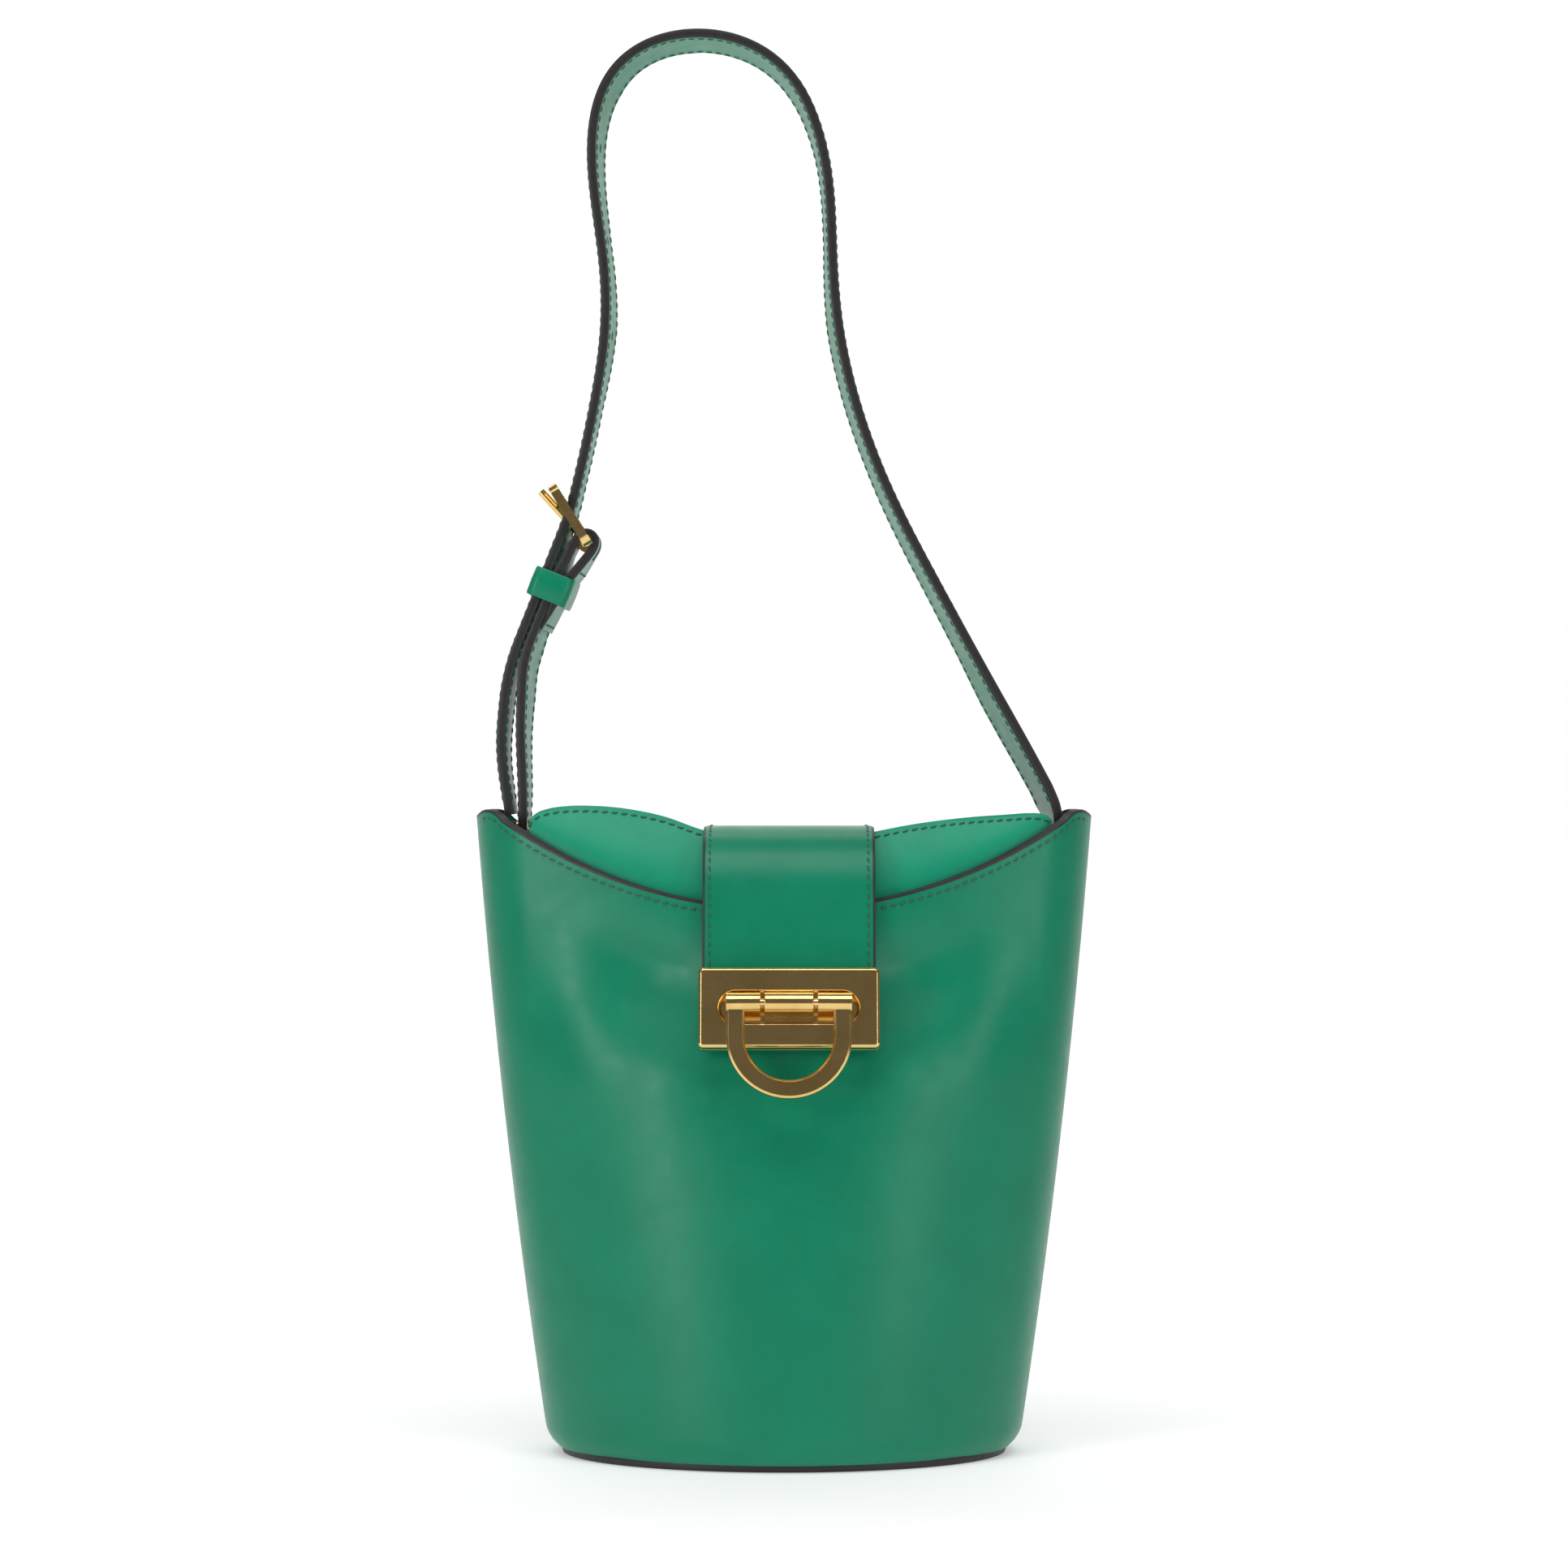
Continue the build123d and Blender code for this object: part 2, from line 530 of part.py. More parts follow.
pin_half_length = RING_WIDTH / 2 - PIN_END_COVER
with BuildPart() as clasp_pin:
    with BuildSketch(section_plane):
        with Locations((PIN_V, PIN_W)):
            Circle(PIN_RADIUS)
    extrude(amount=pin_half_length, both=True)
clasp_pin.part.label = "clasp_pin"
export_step(clasp_pin.part, "parts/clasp_pin.step")

# The ring: a plain stirrup whose two lugs turn on the pin, one each side of the block.
arc_v = PIN_V - RING_DROP + RING_WIDTH / 2
with BuildPart() as clasp_ring:
    with BuildSketch(face_plane.offset(PIN_W - RING_THICKNESS / 2)):
        with Locations((0, arc_v)):
            Circle(RING_WIDTH / 2)
        with Locations((0, (arc_v + PIN_V) / 2)):
            Rectangle(RING_WIDTH, PIN_V - arc_v)
        with Locations((0, arc_v)):
            Circle(RING_WIDTH / 2 - RING_BAND, mode=Mode.SUBTRACT)
        with Locations((0, (arc_v + PIN_V) / 2)):
            Rectangle(RING_WIDTH - 2 * RING_BAND, PIN_V - arc_v, mode=Mode.SUBTRACT)
        with Locations((0, PIN_V + RING_WIDTH / 2)):
            Rectangle(2 * RING_WIDTH, RING_WIDTH, mode=Mode.SUBTRACT)
    extrude(amount=RING_THICKNESS)
    rim_edges = clasp_ring.edges().filter_by(
        lambda e: e.length > RING_WIDTH / 4
        and abs(abs(face_plane.to_local_coords(e.center()).Z - PIN_W) - RING_THICKNESS / 2) < 0.01
    )
    chamfer(rim_edges, RING_EDGE)
    for start, amount in ((LUG_INNER, RING_WIDTH / 2 - LUG_INNER), (-LUG_INNER, LUG_INNER - RING_WIDTH / 2)):
        with BuildSketch(section_plane.offset(start)):
            with Locations((PIN_V, PIN_W)):
                Circle(LUG_RADIUS)
        extrude(amount=amount)
    with BuildSketch(section_plane):
        with Locations((PIN_V, PIN_W)):
            Circle(PIN_RADIUS + RUNNING_CLEARANCE)
    extrude(amount=pin_half_length + RUNNING_CLEARANCE, both=True, mode=Mode.SUBTRACT)
clasp_ring.part.label = "clasp_ring"
export_step(clasp_ring.part, "parts/clasp_ring.step")

# ---- the strap's leather band -------------------------------------------------------------------
BAR_X = BAR_IN - STRAP_LEG_X
BAR_Z = STRAP_PIVOT_Z + BAR_RISE
FOLD_END_Z = STRAP_PIVOT_Z + FOLD_END_RISE
STRAP_ROUTE = (
    (-STRAP_LEG_X, STRAP_PIVOT_Z + SHOULDER_RADIUS + TIP_CLEARANCE, 0),
    *((inward - STRAP_LEG_X, STRAP_PIVOT_Z + rise, bend) for inward, rise, bend in LEFT_BENDS),
    *((STRAP_LEG_X - inward, STRAP_PIVOT_Z + rise, bend) for inward, rise, bend in RIGHT_BENDS),
    (STRAP_LEG_X, STRAP_PIVOT_Z - STRAP_WIDTH / 2, 0),
)


def route_radii(route):
    """Bend radius at each inner corner, from the length of leather that the bend takes."""
    radii = []
    for before, corner, after in zip(route, route[1:], route[2:]):
        first = atan2(corner[1] - before[1], corner[0] - before[0])
        second = atan2(after[1] - corner[1], after[0] - corner[0])
        turn = abs((second - first + pi) % (2 * pi) - pi)
        radii.append(corner[2] / tan(turn / 2))
    return radii


def band_along(route, thickness, width):
    """A flat leather band that follows a route seen from the front."""
    with BuildPart() as band:
        with BuildSketch(Plane.XZ):
            with BuildLine():
                line = FilletPolyline(*[(x, z) for x, z, _ in route], radius=route_radii(route))
                offset(line, amount=thickness / 2, side=Side.BOTH)
            make_face()
        extrude(amount=width / 2, both=True)
    return band.part


def end_corners(x, z, way):
    """What a round end cuts away past (x, z): way -1 is a lower end, 1 an upper one."""
    half = STRAP_WIDTH / 2
    with BuildPart() as corners:
        with BuildSketch(Plane.YZ.offset(x)):
            with Locations((0, z + way * half)):
                Rectangle(2 * STRAP_WIDTH, 2 * half)
            with Locations((0, z)):
                Circle(half, mode=Mode.SUBTRACT)
        extrude(amount=STRAP_WIDTH / 4, both=True)
    return corners.part


lean = BUCKLE_LEAN * pi / 180
frame_dir = (-sin(lean), cos(lean))
out_dir = (-cos(lean), -sin(lean))
end_bar = FRAME_LENGTH - 2 * BAR_RADIUS
# The prong leans out from the frame just enough to lie on its end bar.
prong_tilt = atan2(FRAME_THICKNESS / 2 + PRONG_RADIUS + PRONG_REST_GAP, end_bar - BAR_RADIUS)
prong_dir = (
    frame_dir[0] * cos(prong_tilt) + out_dir[0] * sin(prong_tilt),
    frame_dir[1] * cos(prong_tilt) + out_dir[1] * sin(prong_tilt),
)
frame_plane = Plane(
    origin=(BAR_X, 0, BAR_Z), x_dir=(frame_dir[0], 0, frame_dir[1]), z_dir=(out_dir[0], 0, out_dir[1]),
)
prong_plane = Plane(origin=(BAR_X, 0, BAR_Z), x_dir=(0, 1, 0), z_dir=(prong_dir[0], 0, prong_dir[1]))

loose_strap = band_along(STRAP_ROUTE, STRAP_THICKNESS, STRAP_WIDTH)
right_end = end_corners(STRAP_LEG_X, STRAP_PIVOT_Z, -1)
with BuildPart() as strap_band:
    add(loose_strap)
    add(right_end, mode=Mode.SUBTRACT)
    with BuildSketch(Plane.YZ.offset(STRAP_LEG_X)):
        with Locations((0, STRAP_PIVOT_Z)):
            Circle(POST_RADIUS + RUNNING_CLEARANCE)
    extrude(amount=STRAP_THICKNESS, both=True, mode=Mode.SUBTRACT)
    for inward, rise in ADJUST_HOLES:
        with BuildSketch(Plane.YZ.offset(inward - STRAP_LEG_X)):
            with Locations((0, STRAP_PIVOT_Z + rise)):
                Circle(HOLE_RADIUS)
        extrude(amount=2 * STRAP_THICKNESS, both=True, mode=Mode.SUBTRACT)
    hole_width = 2 * (PRONG_RADIUS + PRONG_HOLE_CLEARANCE)
    with BuildSketch(prong_plane):
        with Locations((0, PRONG_SWING_ROOM / 2)):
            SlotOverall(hole_width + 2 * PRONG_SWING_ROOM, hole_width, rotation=90)
    extrude(amount=end_bar, mode=Mode.SUBTRACT)
strap_band.part.label = "strap_band"
export_step(strap_band.part, "parts/strap_band.step")

# ---- chape: the short strap that holds the buckle -----------------------------------------------
run_from = STRAP_ROUTE[2]
run_to = STRAP_ROUTE[3]
run_length = sqrt((run_to[0] - run_from[0]) ** 2 + (run_to[1] - run_from[1]) ** 2)
run_dir = ((run_to[0] - run_from[0]) / run_length, (run_to[1] - run_from[1]) / run_length)
in_dir = (run_dir[1], -run_dir[0])


def beside_run(z, offset):
    """Point (x, z) at an offset to the inner side of the strap's straight run above the rim."""
    along = (z - run_from[1]) / run_dir[1]
    x = run_from[0] + along * run_dir[0] + offset * in_dir[0]
    return x, run_from[1] + along * run_dir[1] + offset * in_dir[1]


fold_offset = 1.5 * STRAP_THICKNESS + LAYER_GAP
leg_offset = STRAP_THICKNESS + LAYER_GAP
fold_low = beside_run(FOLD_END_Z, fold_offset)
fold_high = beside_run(BAR_Z - FOLD_TOP_DROP, fold_offset)
layer_low = beside_run(FOLD_END_Z - LAYER_BEND_DROP, leg_offset)
layer_high = beside_run(FOLD_END_Z + LAYER_END_RISE, leg_offset)
FOLD_ROUTE = ((*fold_low, 0), (*fold_high, 3), (BAR_X, BAR_Z, 0))
CHAPE_ROUTE = (
    (-CHAPE_LEG_X, STRAP_PIVOT_Z - STRAP_WIDTH / 2, 0),
    *((inward - CHAPE_LEG_X, STRAP_PIVOT_Z + rise, bend) for inward, rise, bend in CHAPE_BENDS),
    (*layer_low, 6),
    (*layer_high, 0),
)
chape_leg = band_along(CHAPE_ROUTE, STRAP_THICKNESS, STRAP_WIDTH)
chape_fold = band_along(FOLD_ROUTE, 2 * STRAP_THICKNESS, STRAP_WIDTH)
chape_end = end_corners(-CHAPE_LEG_X, STRAP_PIVOT_Z, -1)
collar_slot = PRONG_COLLAR_WIDTH + PRONG_SLOT_CLEARANCE
with BuildPart() as strap_chape:
    add(chape_leg)
    add(chape_fold)
    with BuildSketch(Plane.XZ):
        with Locations((BAR_X, BAR_Z)):
            Circle(BAR_RADIUS + EYE_CLEARANCE + STRAP_THICKNESS)
    extrude(amount=STRAP_WIDTH / 2, both=True)
    with BuildSketch(Plane.XZ):
        with Locations((BAR_X, BAR_Z)):
            Circle(BAR_RADIUS + EYE_CLEARANCE)
    extrude(amount=STRAP_WIDTH, both=True, mode=Mode.SUBTRACT)
    with BuildSketch(Plane.XZ):
        with Locations((BAR_X, BAR_Z)):
            Circle(BAR_RADIUS + 2 * STRAP_THICKNESS)
    extrude(amount=collar_slot / 2, both=True, mode=Mode.SUBTRACT)
    add(chape_end, mode=Mode.SUBTRACT)
    with BuildSketch(Plane.YZ.offset(-CHAPE_LEG_X)):
        with Locations((0, STRAP_PIVOT_Z)):
            Circle(POST_RADIUS + RUNNING_CLEARANCE)
    extrude(amount=STRAP_THICKNESS, both=True, mode=Mode.SUBTRACT)
strap_chape.part.label = "strap_chape"
export_step(strap_chape.part, "parts/strap_chape.step")

# ---- buckle: frame with its heel bar, and the prong ---------------------------------------------
with BuildPart() as buckle_frame:
    with BuildSketch(frame_plane.offset(-FRAME_THICKNESS / 2)):
        with Locations((FRAME_LENGTH / 2 - BAR_RADIUS, 0)):
            RectangleRounded(FRAME_LENGTH, 2 * FRAME_HALF_WIDTH, 2 * BAR_RADIUS)
        window = FRAME_LENGTH - BAR_RADIUS - 2 * BAR_RADIUS
        window_half = FRAME_HALF_WIDTH - FRAME_SIDE
        with Locations((window / 2 - BAR_RADIUS, 0)):
            Rectangle(window, 2 * window_half, mode=Mode.SUBTRACT)
    extrude(amount=FRAME_THICKNESS)
    with BuildSketch(Plane.XZ):
        with Locations((BAR_X, BAR_Z)):
            Circle(BAR_RADIUS)
    extrude(amount=window_half + FRAME_SIDE / 2, both=True)
buckle_frame.part.label = "buckle_frame"
export_step(buckle_frame.part, "parts/buckle_frame.step")

prong_reach = end_bar / cos(prong_tilt) + BAR_RADIUS + PRONG_OVERHANG
with BuildPart() as buckle_prong:
    with BuildSketch(Plane.XZ):
        with Locations((BAR_X, BAR_Z)):
            Circle(PRONG_COLLAR_RADIUS)
    extrude(amount=PRONG_COLLAR_WIDTH / 2, both=True)
    with BuildSketch(prong_plane):
        Circle(PRONG_RADIUS)
    extrude(amount=prong_reach)
    with BuildSketch(Plane.XZ):
        with Locations((BAR_X, BAR_Z)):
            Circle(BAR_RADIUS + RUNNING_CLEARANCE)
    extrude(amount=PRONG_COLLAR_WIDTH, both=True, mode=Mode.SUBTRACT)
buckle_prong.part.label = "buckle_prong"
export_step(buckle_prong.part, "parts/buckle_prong.step")

# ---- keeper: a leather loop round strap and folded chape ----------------------------------------
keeper_stack = 3 * STRAP_THICKNESS + LAYER_GAP
keeper_x, keeper_z = beside_run(STRAP_PIVOT_Z + KEEPER_RISE, (keeper_stack - STRAP_THICKNESS) / 2)
keeper_plane = Plane(
    origin=(keeper_x, 0, keeper_z), x_dir=(in_dir[0], 0, in_dir[1]), z_dir=(run_dir[0], 0, run_dir[1]),
)
with BuildPart() as strap_keeper:
    with BuildSketch(keeper_plane):
        inner_x = keeper_stack + 2 * KEEPER_CLEARANCE
        inner_y = STRAP_WIDTH + 2 * KEEPER_CLEARANCE
        RectangleRounded(inner_x + 2 * KEEPER_WALL, inner_y + 2 * KEEPER_WALL, KEEPER_WALL)
        Rectangle(inner_x, inner_y, mode=Mode.SUBTRACT)
    extrude(amount=KEEPER_HEIGHT / 2, both=True)
strap_keeper.part.label = "strap_keeper"
export_step(strap_keeper.part, "parts/strap_keeper.step")

# ---- strap anchors: plate and post on the lining, with a screw ----------------------------------
for side, leg_x, place in ((-1, CHAPE_LEG_X, "left"), (1, STRAP_LEG_X, "right")):
    outside = leg_x + STRAP_THICKNESS / 2 + POST_GAP
    inside = leg_x - STRAP_THICKNESS / 2 - POST_GAP
    with BuildPart() as strap_anchor:
        with BuildSketch(Plane.YZ.offset(side * ANCHOR_FACE_X)):
            with Locations((0, STRAP_PIVOT_Z + (ANCHOR_RISE - ANCHOR_DROP) / 2)):
                RectangleRounded(2 * ANCHOR_HALF_WIDTH, ANCHOR_RISE + ANCHOR_DROP, SCREW_RADIUS)
        extrude(amount=side * STRAP_WIDTH)
        add(anchor_room, mode=Mode.INTERSECT)
        with BuildSketch(Plane.YZ.offset(side * outside)):
            with Locations((0, STRAP_PIVOT_Z)):
                Circle(SHOULDER_RADIUS)
        extrude(amount=side * (ANCHOR_FACE_X - outside))
        with BuildSketch(Plane.YZ.offset(side * inside)):
            with Locations((0, STRAP_PIVOT_Z)):
                Circle(POST_RADIUS)
        extrude(amount=side * (outside - inside))
        with BuildSketch(Plane.YZ.offset(side * inside)):
            with Locations((0, STRAP_PIVOT_Z)):
                Circle(SCREW_RADIUS)
        extrude(amount=side * SCREW_DEPTH, mode=Mode.SUBTRACT)
    strap_anchor.part.label = f"strap_anchor_{place}"
    export_step(strap_anchor.part, f"parts/strap_anchor_{place}.step")

    with BuildPart() as strap_screw:
        with BuildSketch(Plane.YZ.offset(side * inside)):
            with Locations((0, STRAP_PIVOT_Z)):
                Circle(SCREW_HEAD_RADIUS)
        extrude(amount=-side * SCREW_HEAD_THICKNESS)
        with BuildSketch(Plane.YZ.offset(side * inside)):
            with Locations((0, STRAP_PIVOT_Z)):
                Circle(SCREW_RADIUS)
        extrude(amount=side * SCREW_DEPTH)
        with BuildSketch(Plane.YZ.offset(side * (inside - SCREW_HEAD_THICKNESS))):
            with Locations((0, STRAP_PIVOT_Z)):
                Rectangle(2 * SCREW_HEAD_RADIUS, SCREW_SLOT)
        extrude(amount=side * SCREW_HEAD_THICKNESS / 2, mode=Mode.SUBTRACT)
    strap_screw.part.label = f"strap_screw_{place}"
    export_step(strap_screw.part, f"parts/strap_screw_{place}.step")

print("fold axis y", round(FOLD_Y, 3), "pin", face_plane.from_local_coords((0, PIN_V, PIN_W)))
print("frame lean", BUCKLE_LEAN, "prong tilt", round(degrees(prong_tilt), 2), "run", run_dir)
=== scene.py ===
from math import atan2, cos, pi, radians, sin

import bpy
import numpy as np
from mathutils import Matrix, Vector


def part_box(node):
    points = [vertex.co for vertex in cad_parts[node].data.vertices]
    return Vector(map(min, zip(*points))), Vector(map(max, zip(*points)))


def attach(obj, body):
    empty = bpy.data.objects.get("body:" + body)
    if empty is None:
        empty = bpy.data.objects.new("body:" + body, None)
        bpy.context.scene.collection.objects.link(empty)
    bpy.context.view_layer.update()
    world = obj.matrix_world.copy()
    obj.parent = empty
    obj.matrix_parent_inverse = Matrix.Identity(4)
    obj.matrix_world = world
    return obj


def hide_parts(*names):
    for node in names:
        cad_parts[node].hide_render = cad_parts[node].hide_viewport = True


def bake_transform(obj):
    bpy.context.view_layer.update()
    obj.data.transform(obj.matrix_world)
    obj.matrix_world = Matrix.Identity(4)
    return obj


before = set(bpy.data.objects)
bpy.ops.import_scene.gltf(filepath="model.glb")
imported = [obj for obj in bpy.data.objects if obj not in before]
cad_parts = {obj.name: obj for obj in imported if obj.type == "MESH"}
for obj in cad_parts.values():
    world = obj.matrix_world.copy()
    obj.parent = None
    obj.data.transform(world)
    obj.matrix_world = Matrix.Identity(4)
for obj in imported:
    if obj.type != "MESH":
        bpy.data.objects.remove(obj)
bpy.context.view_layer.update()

MM = 0.001

# Everything below is in millimetres until a mesh is made; meshes and lights are in metres.

# ---- the body's form, as the frame has it --------------------------------------------------------
BODY_HALF_WIDTH = 72.0
BODY_FLARE = 0.155
BODY_FLARE_LOSS = 0.0002
BODY_HALF_DEPTH = 54.5
SHOULDER_HALF_DEPTH = 48.5
MOUTH_HALF_DEPTH = 34.0
RIM_DIP_Z = 168.0
RIM_DIP_RADIUS = 153.0
MOUTH_Z = RIM_DIP_Z + 4.0
SHOULDER_Z = MOUTH_Z - 57.0
SHOULDER_POWER = 1.6
SHOULDER_SOFTNESS = 6.0
BASE_END_RADIUS = 37.0
MOUTH_END_RADIUS = 22.0
BOTTOM_CORNER = 9.0
ARC_END_X = 86.0
PEAK_SLOPE = 1.251
PEAK_BEND = 0.1291
PANEL_THICKNESS = 2.0
WALL_FOOT_Z = 2.2
BASE_TOP_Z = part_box("base_plate")[1].z / MM
BASE_HALF_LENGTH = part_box("base_plate")[1].x / MM
BASE_HALF_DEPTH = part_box("base_plate")[1].y / MM
WALL_LEAN = (SHOULDER_HALF_DEPTH - MOUTH_HALF_DEPTH) / (MOUTH_Z - SHOULDER_Z)
LEAN = atan2(WALL_LEAN, 1.0)

magnet_low, magnet_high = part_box("panel_magnet")
MAGNET_X = (magnet_low.x + magnet_high.x) / 2 / MM
MAGNET_Z = (magnet_low.z + magnet_high.z) / 2 / MM
MAGNET_GUARD_RADIUS = 10.0
MAGNET_GUARD = 0.9

STITCH_PITCH = 2.9
STITCH_LENGTH = 2.15
STITCH_RADIUS = 0.36
STITCH_SLANT = 0.16


def corner_loss(z):
    """How far the rounded bottom corner draws the wall in at height z."""
    return BOTTOM_CORNER - np.sqrt(BOTTOM_CORNER ** 2 - np.clip(BOTTOM_CORNER - z, 0, None) ** 2)


def half_width(z):
    return BODY_HALF_WIDTH + BODY_FLARE * z - BODY_FLARE_LOSS * z * z - corner_loss(z)


def half_depth(z):
    rise = np.clip(z / SHOULDER_Z, 0, 1)
    lower = BODY_HALF_DEPTH + (SHOULDER_HALF_DEPTH - BODY_HALF_DEPTH) * rise ** SHOULDER_POWER
    upper = MOUTH_HALF_DEPTH + WALL_LEAN * np.clip(MOUTH_Z - z, 0, MOUTH_Z - SHOULDER_Z)
    # The two are blended softly, so that the shoulder is round where the walls start to lean in.
    blend = 1 / (1 + np.exp(-(z - SHOULDER_Z) / SHOULDER_SOFTNESS))
    return lower * (1 - blend) + upper * blend - corner_loss(z)


def end_radius(z):
    return BASE_END_RADIUS + (MOUTH_END_RADIUS - BASE_END_RADIUS) * np.clip(z / MOUTH_Z, 0, 1)


def oval_point(s, z, inset=0.0):
    """Point and outward direction on the front half of the oval at height z.

    s runs from -1 at the left seam to 1 at the right seam. Returns x, y and the direction's x, y.
    """
    a, b, r = half_width(z) - inset, half_depth(z) - inset, end_radius(z) - inset
    long_radius = ((a - r) ** 2 + b * b - r * r) / (2 * (b - r))
    angle = np.arctan2(a - r, long_radius - b)
    long_length = long_radius * angle
    end_length = r * (pi / 2 - angle)
    run = np.abs(s) * (long_length + end_length)
    on_long = run <= long_length
    theta = np.where(on_long, run / long_radius, angle + (run - long_length) / r)
    x = np.where(on_long, long_radius * np.sin(theta), a - r + r * np.sin(theta))
    y = np.where(on_long, (b - long_radius) + long_radius * np.cos(theta), r * np.cos(theta))
    return np.sign(s) * x, -y, np.sign(s) * np.sin(theta), -np.cos(theta)


def rim_height(x, drop=0.0):
    """Height of the rim at x: a wide arc that rounds over into a peak at each side."""
    x = np.abs(x)
    arc = RIM_DIP_Z + RIM_DIP_RADIUS - np.sqrt(RIM_DIP_RADIUS ** 2 - np.minimum(x, ARC_END_X) ** 2)
    past = np.clip(x - ARC_END_X, 0, None)
    return arc + PEAK_SLOPE * past - PEAK_BEND * past ** 2 - drop


# Soft hollows (above 0) and swells (below 0) of the front: depth, middle x and z, reach in x and z.
PRESSES = [(1.6, 1.5, 116.0, 30.0, 20.0)]
for side, hollow_z in ((-1, 147.0), (1, 149.0)):
    PRESSES.append((4.6, side * 40.0, hollow_z, 21.0, 16.0))
    PRESSES.append((-1.5, side * 62.0, 128.0, 13.0, 24.0))
    PRESSES.append((-0.9, side * 36.0, 112.0, 18.0, 15.0))


def dent(x, z):
    """How far the front is pressed in, beside the tab and under the clasp, but hardly over the magnet."""
    press = 0.0
    for depth, middle_x, middle_z, reach_x, reach_z in PRESSES:
        press = press + depth * np.exp(-((x - middle_x) / reach_x) ** 2 - ((z - middle_z) / reach_z) ** 2)
    guard = np.exp(-((x - MAGNET_X) ** 2 + (z - MAGNET_Z) ** 2) / MAGNET_GUARD_RADIUS ** 2)
    return press * (1 - MAGNET_GUARD * guard)


# ---- materials -----------------------------------------------------------------------------------
def new_material(name, color, roughness, metallic=0.0):
    material = bpy.data.materials.new(name)
    material.use_nodes = True
    shader = material.node_tree.nodes["Principled BSDF"]
    shader.inputs["Base Color"].default_value = (*color, 1)
    shader.inputs["Roughness"].default_value = roughness
    shader.inputs["Metallic"].default_value = metallic
    return material, material.node_tree, shader


def noise(tree, scale, detail=3.0, rough=0.55, stretch=None):
    coords = tree.nodes.new("ShaderNodeTexCoord")
    texture = tree.nodes.new("ShaderNodeTexNoise")
    texture.inputs["Scale"].default_value = scale
    texture.inputs["Detail"].default_value = detail
    texture.inputs["Roughness"].default_value = rough
    source = coords.outputs["Object"]
    if stretch:
        mapping = tree.nodes.new("ShaderNodeMapping")
        mapping.inputs["Scale"].default_value = stretch
        tree.links.new(source, mapping.inputs["Vector"])
        source = mapping.outputs["Vector"]
    tree.links.new(source, texture.inputs["Vector"])
    return texture.outputs["Fac"]


def remap(tree, value, low_out, high_out, low_in=0.3, high_in=0.7):
    node = tree.nodes.new("ShaderNodeMapRange")
    node.inputs["From Min"].default_value = low_in
    node.inputs["From Max"].default_value = high_in
    node.inputs["To Min"].default_value = low_out
    node.inputs["To Max"].default_value = high_out
    tree.links.new(value, node.inputs["Value"])
    return node.outputs["Result"]


def color_between(tree, value, dark, light):
    ramp = tree.nodes.new("ShaderNodeValToRGB")
    ramp.color_ramp.elements[0].position = 0.32
    ramp.color_ramp.elements[0].color = (*dark, 1)
    ramp.color_ramp.elements[1].position = 0.68
    ramp.color_ramp.elements[1].color = (*light, 1)
    tree.links.new(value, ramp.inputs["Fac"])
    return ramp.outputs["Color"]


def bump(tree, shader, height, distance, strength):
    node = tree.nodes.new("ShaderNodeBump")
    node.inputs["Distance"].default_value = distance
    node.inputs["Strength"].default_value = strength
    tree.links.new(height, node.inputs["Height"])
    tree.links.new(node.outputs["Normal"], shader.inputs["Normal"])


def calf(name, dark, light, roughness):
    """Smooth calf leather: faint pores, a little colour and gloss variation, a thin finish coat."""
    material, tree, shader = new_material(name, light, roughness)
    tree.links.new(color_between(tree, noise(tree, 55.0, 4.0), dark, light), shader.inputs["Base Color"])
    gloss = remap(tree, noise(tree, 160.0), roughness - 0.04, roughness + 0.05)
    tree.links.new(gloss, shader.inputs["Roughness"])
    shader.inputs["Specular IOR Level"].default_value = 0.26
    shader.inputs["Coat Weight"].default_value = 0.03
    shader.inputs["Coat Roughness"].default_value = 0.28
    pores = tree.nodes.new("ShaderNodeTexVoronoi")
    pores.feature = "F1"
    pores.inputs["Scale"].default_value = 2600.0
    coords = tree.nodes.new("ShaderNodeTexCoord")
    tree.links.new(coords.outputs["Object"], pores.inputs["Vector"])
    bump(tree, shader, pores.outputs["Distance"], 0.00004, 0.35)
    return material


leather = calf("green_calf", (0.0015, 0.200, 0.104), (0.002, 0.222, 0.117), 0.34)
# The leaves' calf is the body's leather made lighter: painted light, standing for the light that the
# up-facing leaves catch from above.
leaf_leather_painted_light = calf("green_calf_painted_light", (0.004, 0.285, 0.158), (0.005, 0.312, 0.174), 0.40)

edge_paint, tree, shader = new_material("edge_paint", (0.014, 0.012, 0.013), 0.42)
tree.links.new(remap(tree, noise(tree, 700.0), 0.36, 0.5), shader.inputs["Roughness"])
bump(tree, shader, noise(tree, 900.0, 4.0), 0.0001, 0.35)

thread, tree, shader = new_material("thread", (0.003, 0.10, 0.05), 0.5)
bump(tree, shader, noise(tree, 4200.0, 2.0), 0.00008, 0.6)
shader.inputs["Sheen Weight"].default_value = 0.2

suede, tree, shader = new_material("suede_lining", (0.02, 0.12, 0.07), 0.9)
tree.links.new(
    color_between(tree, noise(tree, 900.0, 5.0), (0.012, 0.085, 0.05), (0.03, 0.15, 0.09)),
    shader.inputs["Base Color"],
)
shader.inputs["Sheen Weight"].default_value = 0.5
bump(tree, shader, noise(tree, 3000.0, 5.0), 0.0002, 0.7)

